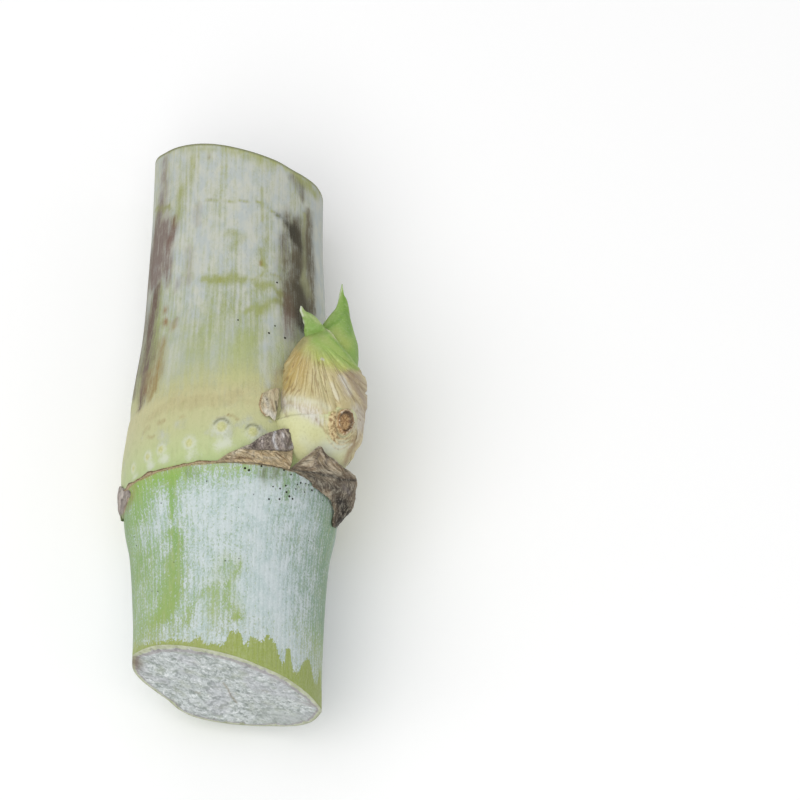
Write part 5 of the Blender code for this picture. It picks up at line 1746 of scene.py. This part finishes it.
edgeLeft = {
    "name": "edgeLeft", "slot": "mauve_sheath", "node": "sheath_edge_left",
    "grid": (80, 60), "seed": 6, "jag": 0.25, "veins": (1.0, 0.1),
    "crumple": 0.16, "crumpleSize": (1.2, 1.6, 1.2), "ridges": 0.1, "thick": 0.3,
    "finish": ("mauveSheath", (1.2, 0.35, 1.0), 0.6), "shade": lambda u, v: 0.1 * fade((u - 0.9) / 0.1),
    "ground": (178, 167, 160),
    "rows": [
        [(-105, -1.2, 0.05, "round"), (-96, -1.7, 0.08, "round"), (120.9, 521, 0.1), (122, 519.5, 0.08),
         (124, 518, 0.02)],
        [(-106, -0.2, 0.2, "round"), (-96, -0.4, 0.4, "round"), (118.4, 510, 0.5), (121.6, 507.5, 0.35),
         (126.5, 505, 0.06)],
        [(-106, 0.7, 0.2, "round"), (-97, 1.2, 0.5, "round"), (117.3, 497, 0.7), (122, 495.5, 0.5), (130, 495, 0.12)],
        [(-105, 1.4, 0.1, "round"), (-96, 2.4, 0.3, "round"), (119, 486.5, 0.3), (122.5, 488, 0.25),
         (129, 490.3, 0.12)],
    ],
    "strokes": [
        ("pink", 0.6, [(120, 492, 3), (119, 508, 3)]),
        ("umber", 0.2, [(117, 500, 0.6), (118, 512, 0.6)]),
        ("umber", 0.5, [(127, 490.5, 0.9), (130, 493, 0.9)]),
        ("orange", 0.7, [(128.5, 499, 1.0), (126, 507, 1.1), (124, 514, 1.1)]),
        ("umber", 0.25, [(122, 499, 0.8), (121.5, 509, 0.8)]),
        ("white", 0.4, [(121, 489, 1.2), (122, 497, 1.2)]),
        ("leaf", 0.95, [(121, 521, 4.5), (125, 514, 1.4)]),
    ],
}

bract = {
    "name": "bract", "slot": "bract", "node": "bud_bract",
    "grid": (60, 60), "seed": 8, "jag": 0.3, "veins": (1.0, 0.2),
    "crumple": 0.18, "crumpleSize": (1.0, 1.4, 1.0), "ridges": 0.05, "thick": 0.2,
    "finish": ("paperySheath", (1.2, 0.5, 1.0), 0.1), "shade": lambda u, v: 0 * u,
    "ground": (204, 192, 158),
    "rows": [
        [(258.5, 404, 0.08), (261, 411, 0.15), (265.5, 416, 0.3), (270, 416.5, 0.45), (275, 421, 0.5)],
        [(259.5, 401, 0.12), (264, 404, 0.4), (269, 407, 0.6), (273, 410, 0.8), (277, 414, 0.7)],
        [(260.5, 397, 0.12), (265, 398.5, 0.4), (270, 400, 0.7), (274, 402, 0.9), (278, 406, 0.8)],
        [(262, 393.5, 0.08), (266, 391.5, 0.3), (271, 389.5, 0.5), (275.5, 388, 0.6), (280, 388, 0.6)],
    ],
    "strokes": [
        ("white", 0.8, [(267, 411, 3.5), (274, 417, 3.5)]),
        ("white", 0.5, [(265, 398, 2.2), (268, 405, 2.2)]),
        ("gold", 0.3, [(275, 386, 2.2), (272.5, 393, 2.0)]),
        ("bark", 0.6, [(271, 399, 0.9), (272, 404, 1.0), (274, 411, 0.9)]),
        ("gold", 0.75, [(262, 393.5, 0.8), (260, 400.6, 0.9), (259.6, 405, 0.9), (261.5, 410.6, 0.8),
                      (265, 415, 0.8)]),
        # painted shadow in the gap between the bract and the bud
        ("shadowAndSpecks", 0.8, [(275.5, 401, 0.8), (276.8, 408, 1.0), (278.5, 414, 0.8)]),
        ("dark", 0.9, [(266.8, 399.3, 0.9)]),
        ("gold", 0.25, [(264, 404, 1.2), (267, 408, 1.0)]),
    ],
}

for scrap in (flapRight, flapGrey, flapTan, edgeLeft, bract):
    buildScrap(scrap)


# Floor, light and surroundings

setting = {
    "floorHalf": 3.0,  # metres, as the places and sizes of the lights
    "floorColours": ((250, 250, 250, 1.0), (252, 252, 252, 1.0)),
    "backdrop": 0.5,
    "aim": (0, 0.005, 0.015),
    # name, place, size and power
    "lights": [
        ("keyLight", (-0.2, -0.24, 0.72), 0.85, 4.5),
        ("fillLight", (0.5, -0.1, 0.45), 0.5, 0.2),
        ("backLight", (-0.1, 0.55, 0.5), 0.5, 0.5),
    ],
}


def buildSetting():
    scene = bpy.context.scene
    half = setting["floorHalf"]
    floor = bpy.data.meshes.new("floor")
    floor.from_pydata([(-half, -half, 0), (half, -half, 0), (half, half, 0), (-half, half, 0)], [], [(0, 1, 2, 3)])
    made = Finish("floorFinish", 0.1)
    cloudy = made.grain(0.004, 0.004, 0.004, 2, 0.5)
    first, second = [tint(*paint) for paint in setting["floorColours"]]
    floor.materials.append(made.finish(made.blend(cloudy, first, second), 0.9))
    ground = bpy.data.objects.new("floor", floor)
    scene.collection.objects.link(ground)
    scene.world = bpy.data.worlds.new("surroundings")
    scene.world.use_nodes = True
    backdrop = scene.world.node_tree.nodes["Background"]
    backdrop.inputs["Color"].default_value = (1, 1, 1, 1)
    backdrop.inputs["Strength"].default_value = setting["backdrop"]
    for name, place, size, power in setting["lights"]:
        data = bpy.data.lights.new(name, "AREA")
        data.size = size
        data.energy = power
        lamp = bpy.data.objects.new(name, data)
        lamp.location = place
        lamp.rotation_euler = (Vector(setting["aim"]) - Vector(place)).to_track_quat("-Z", "Y").to_euler()
        scene.collection.objects.link(lamp)
    scene.view_settings.view_transform = "Standard"


buildSetting()
print("setting made")
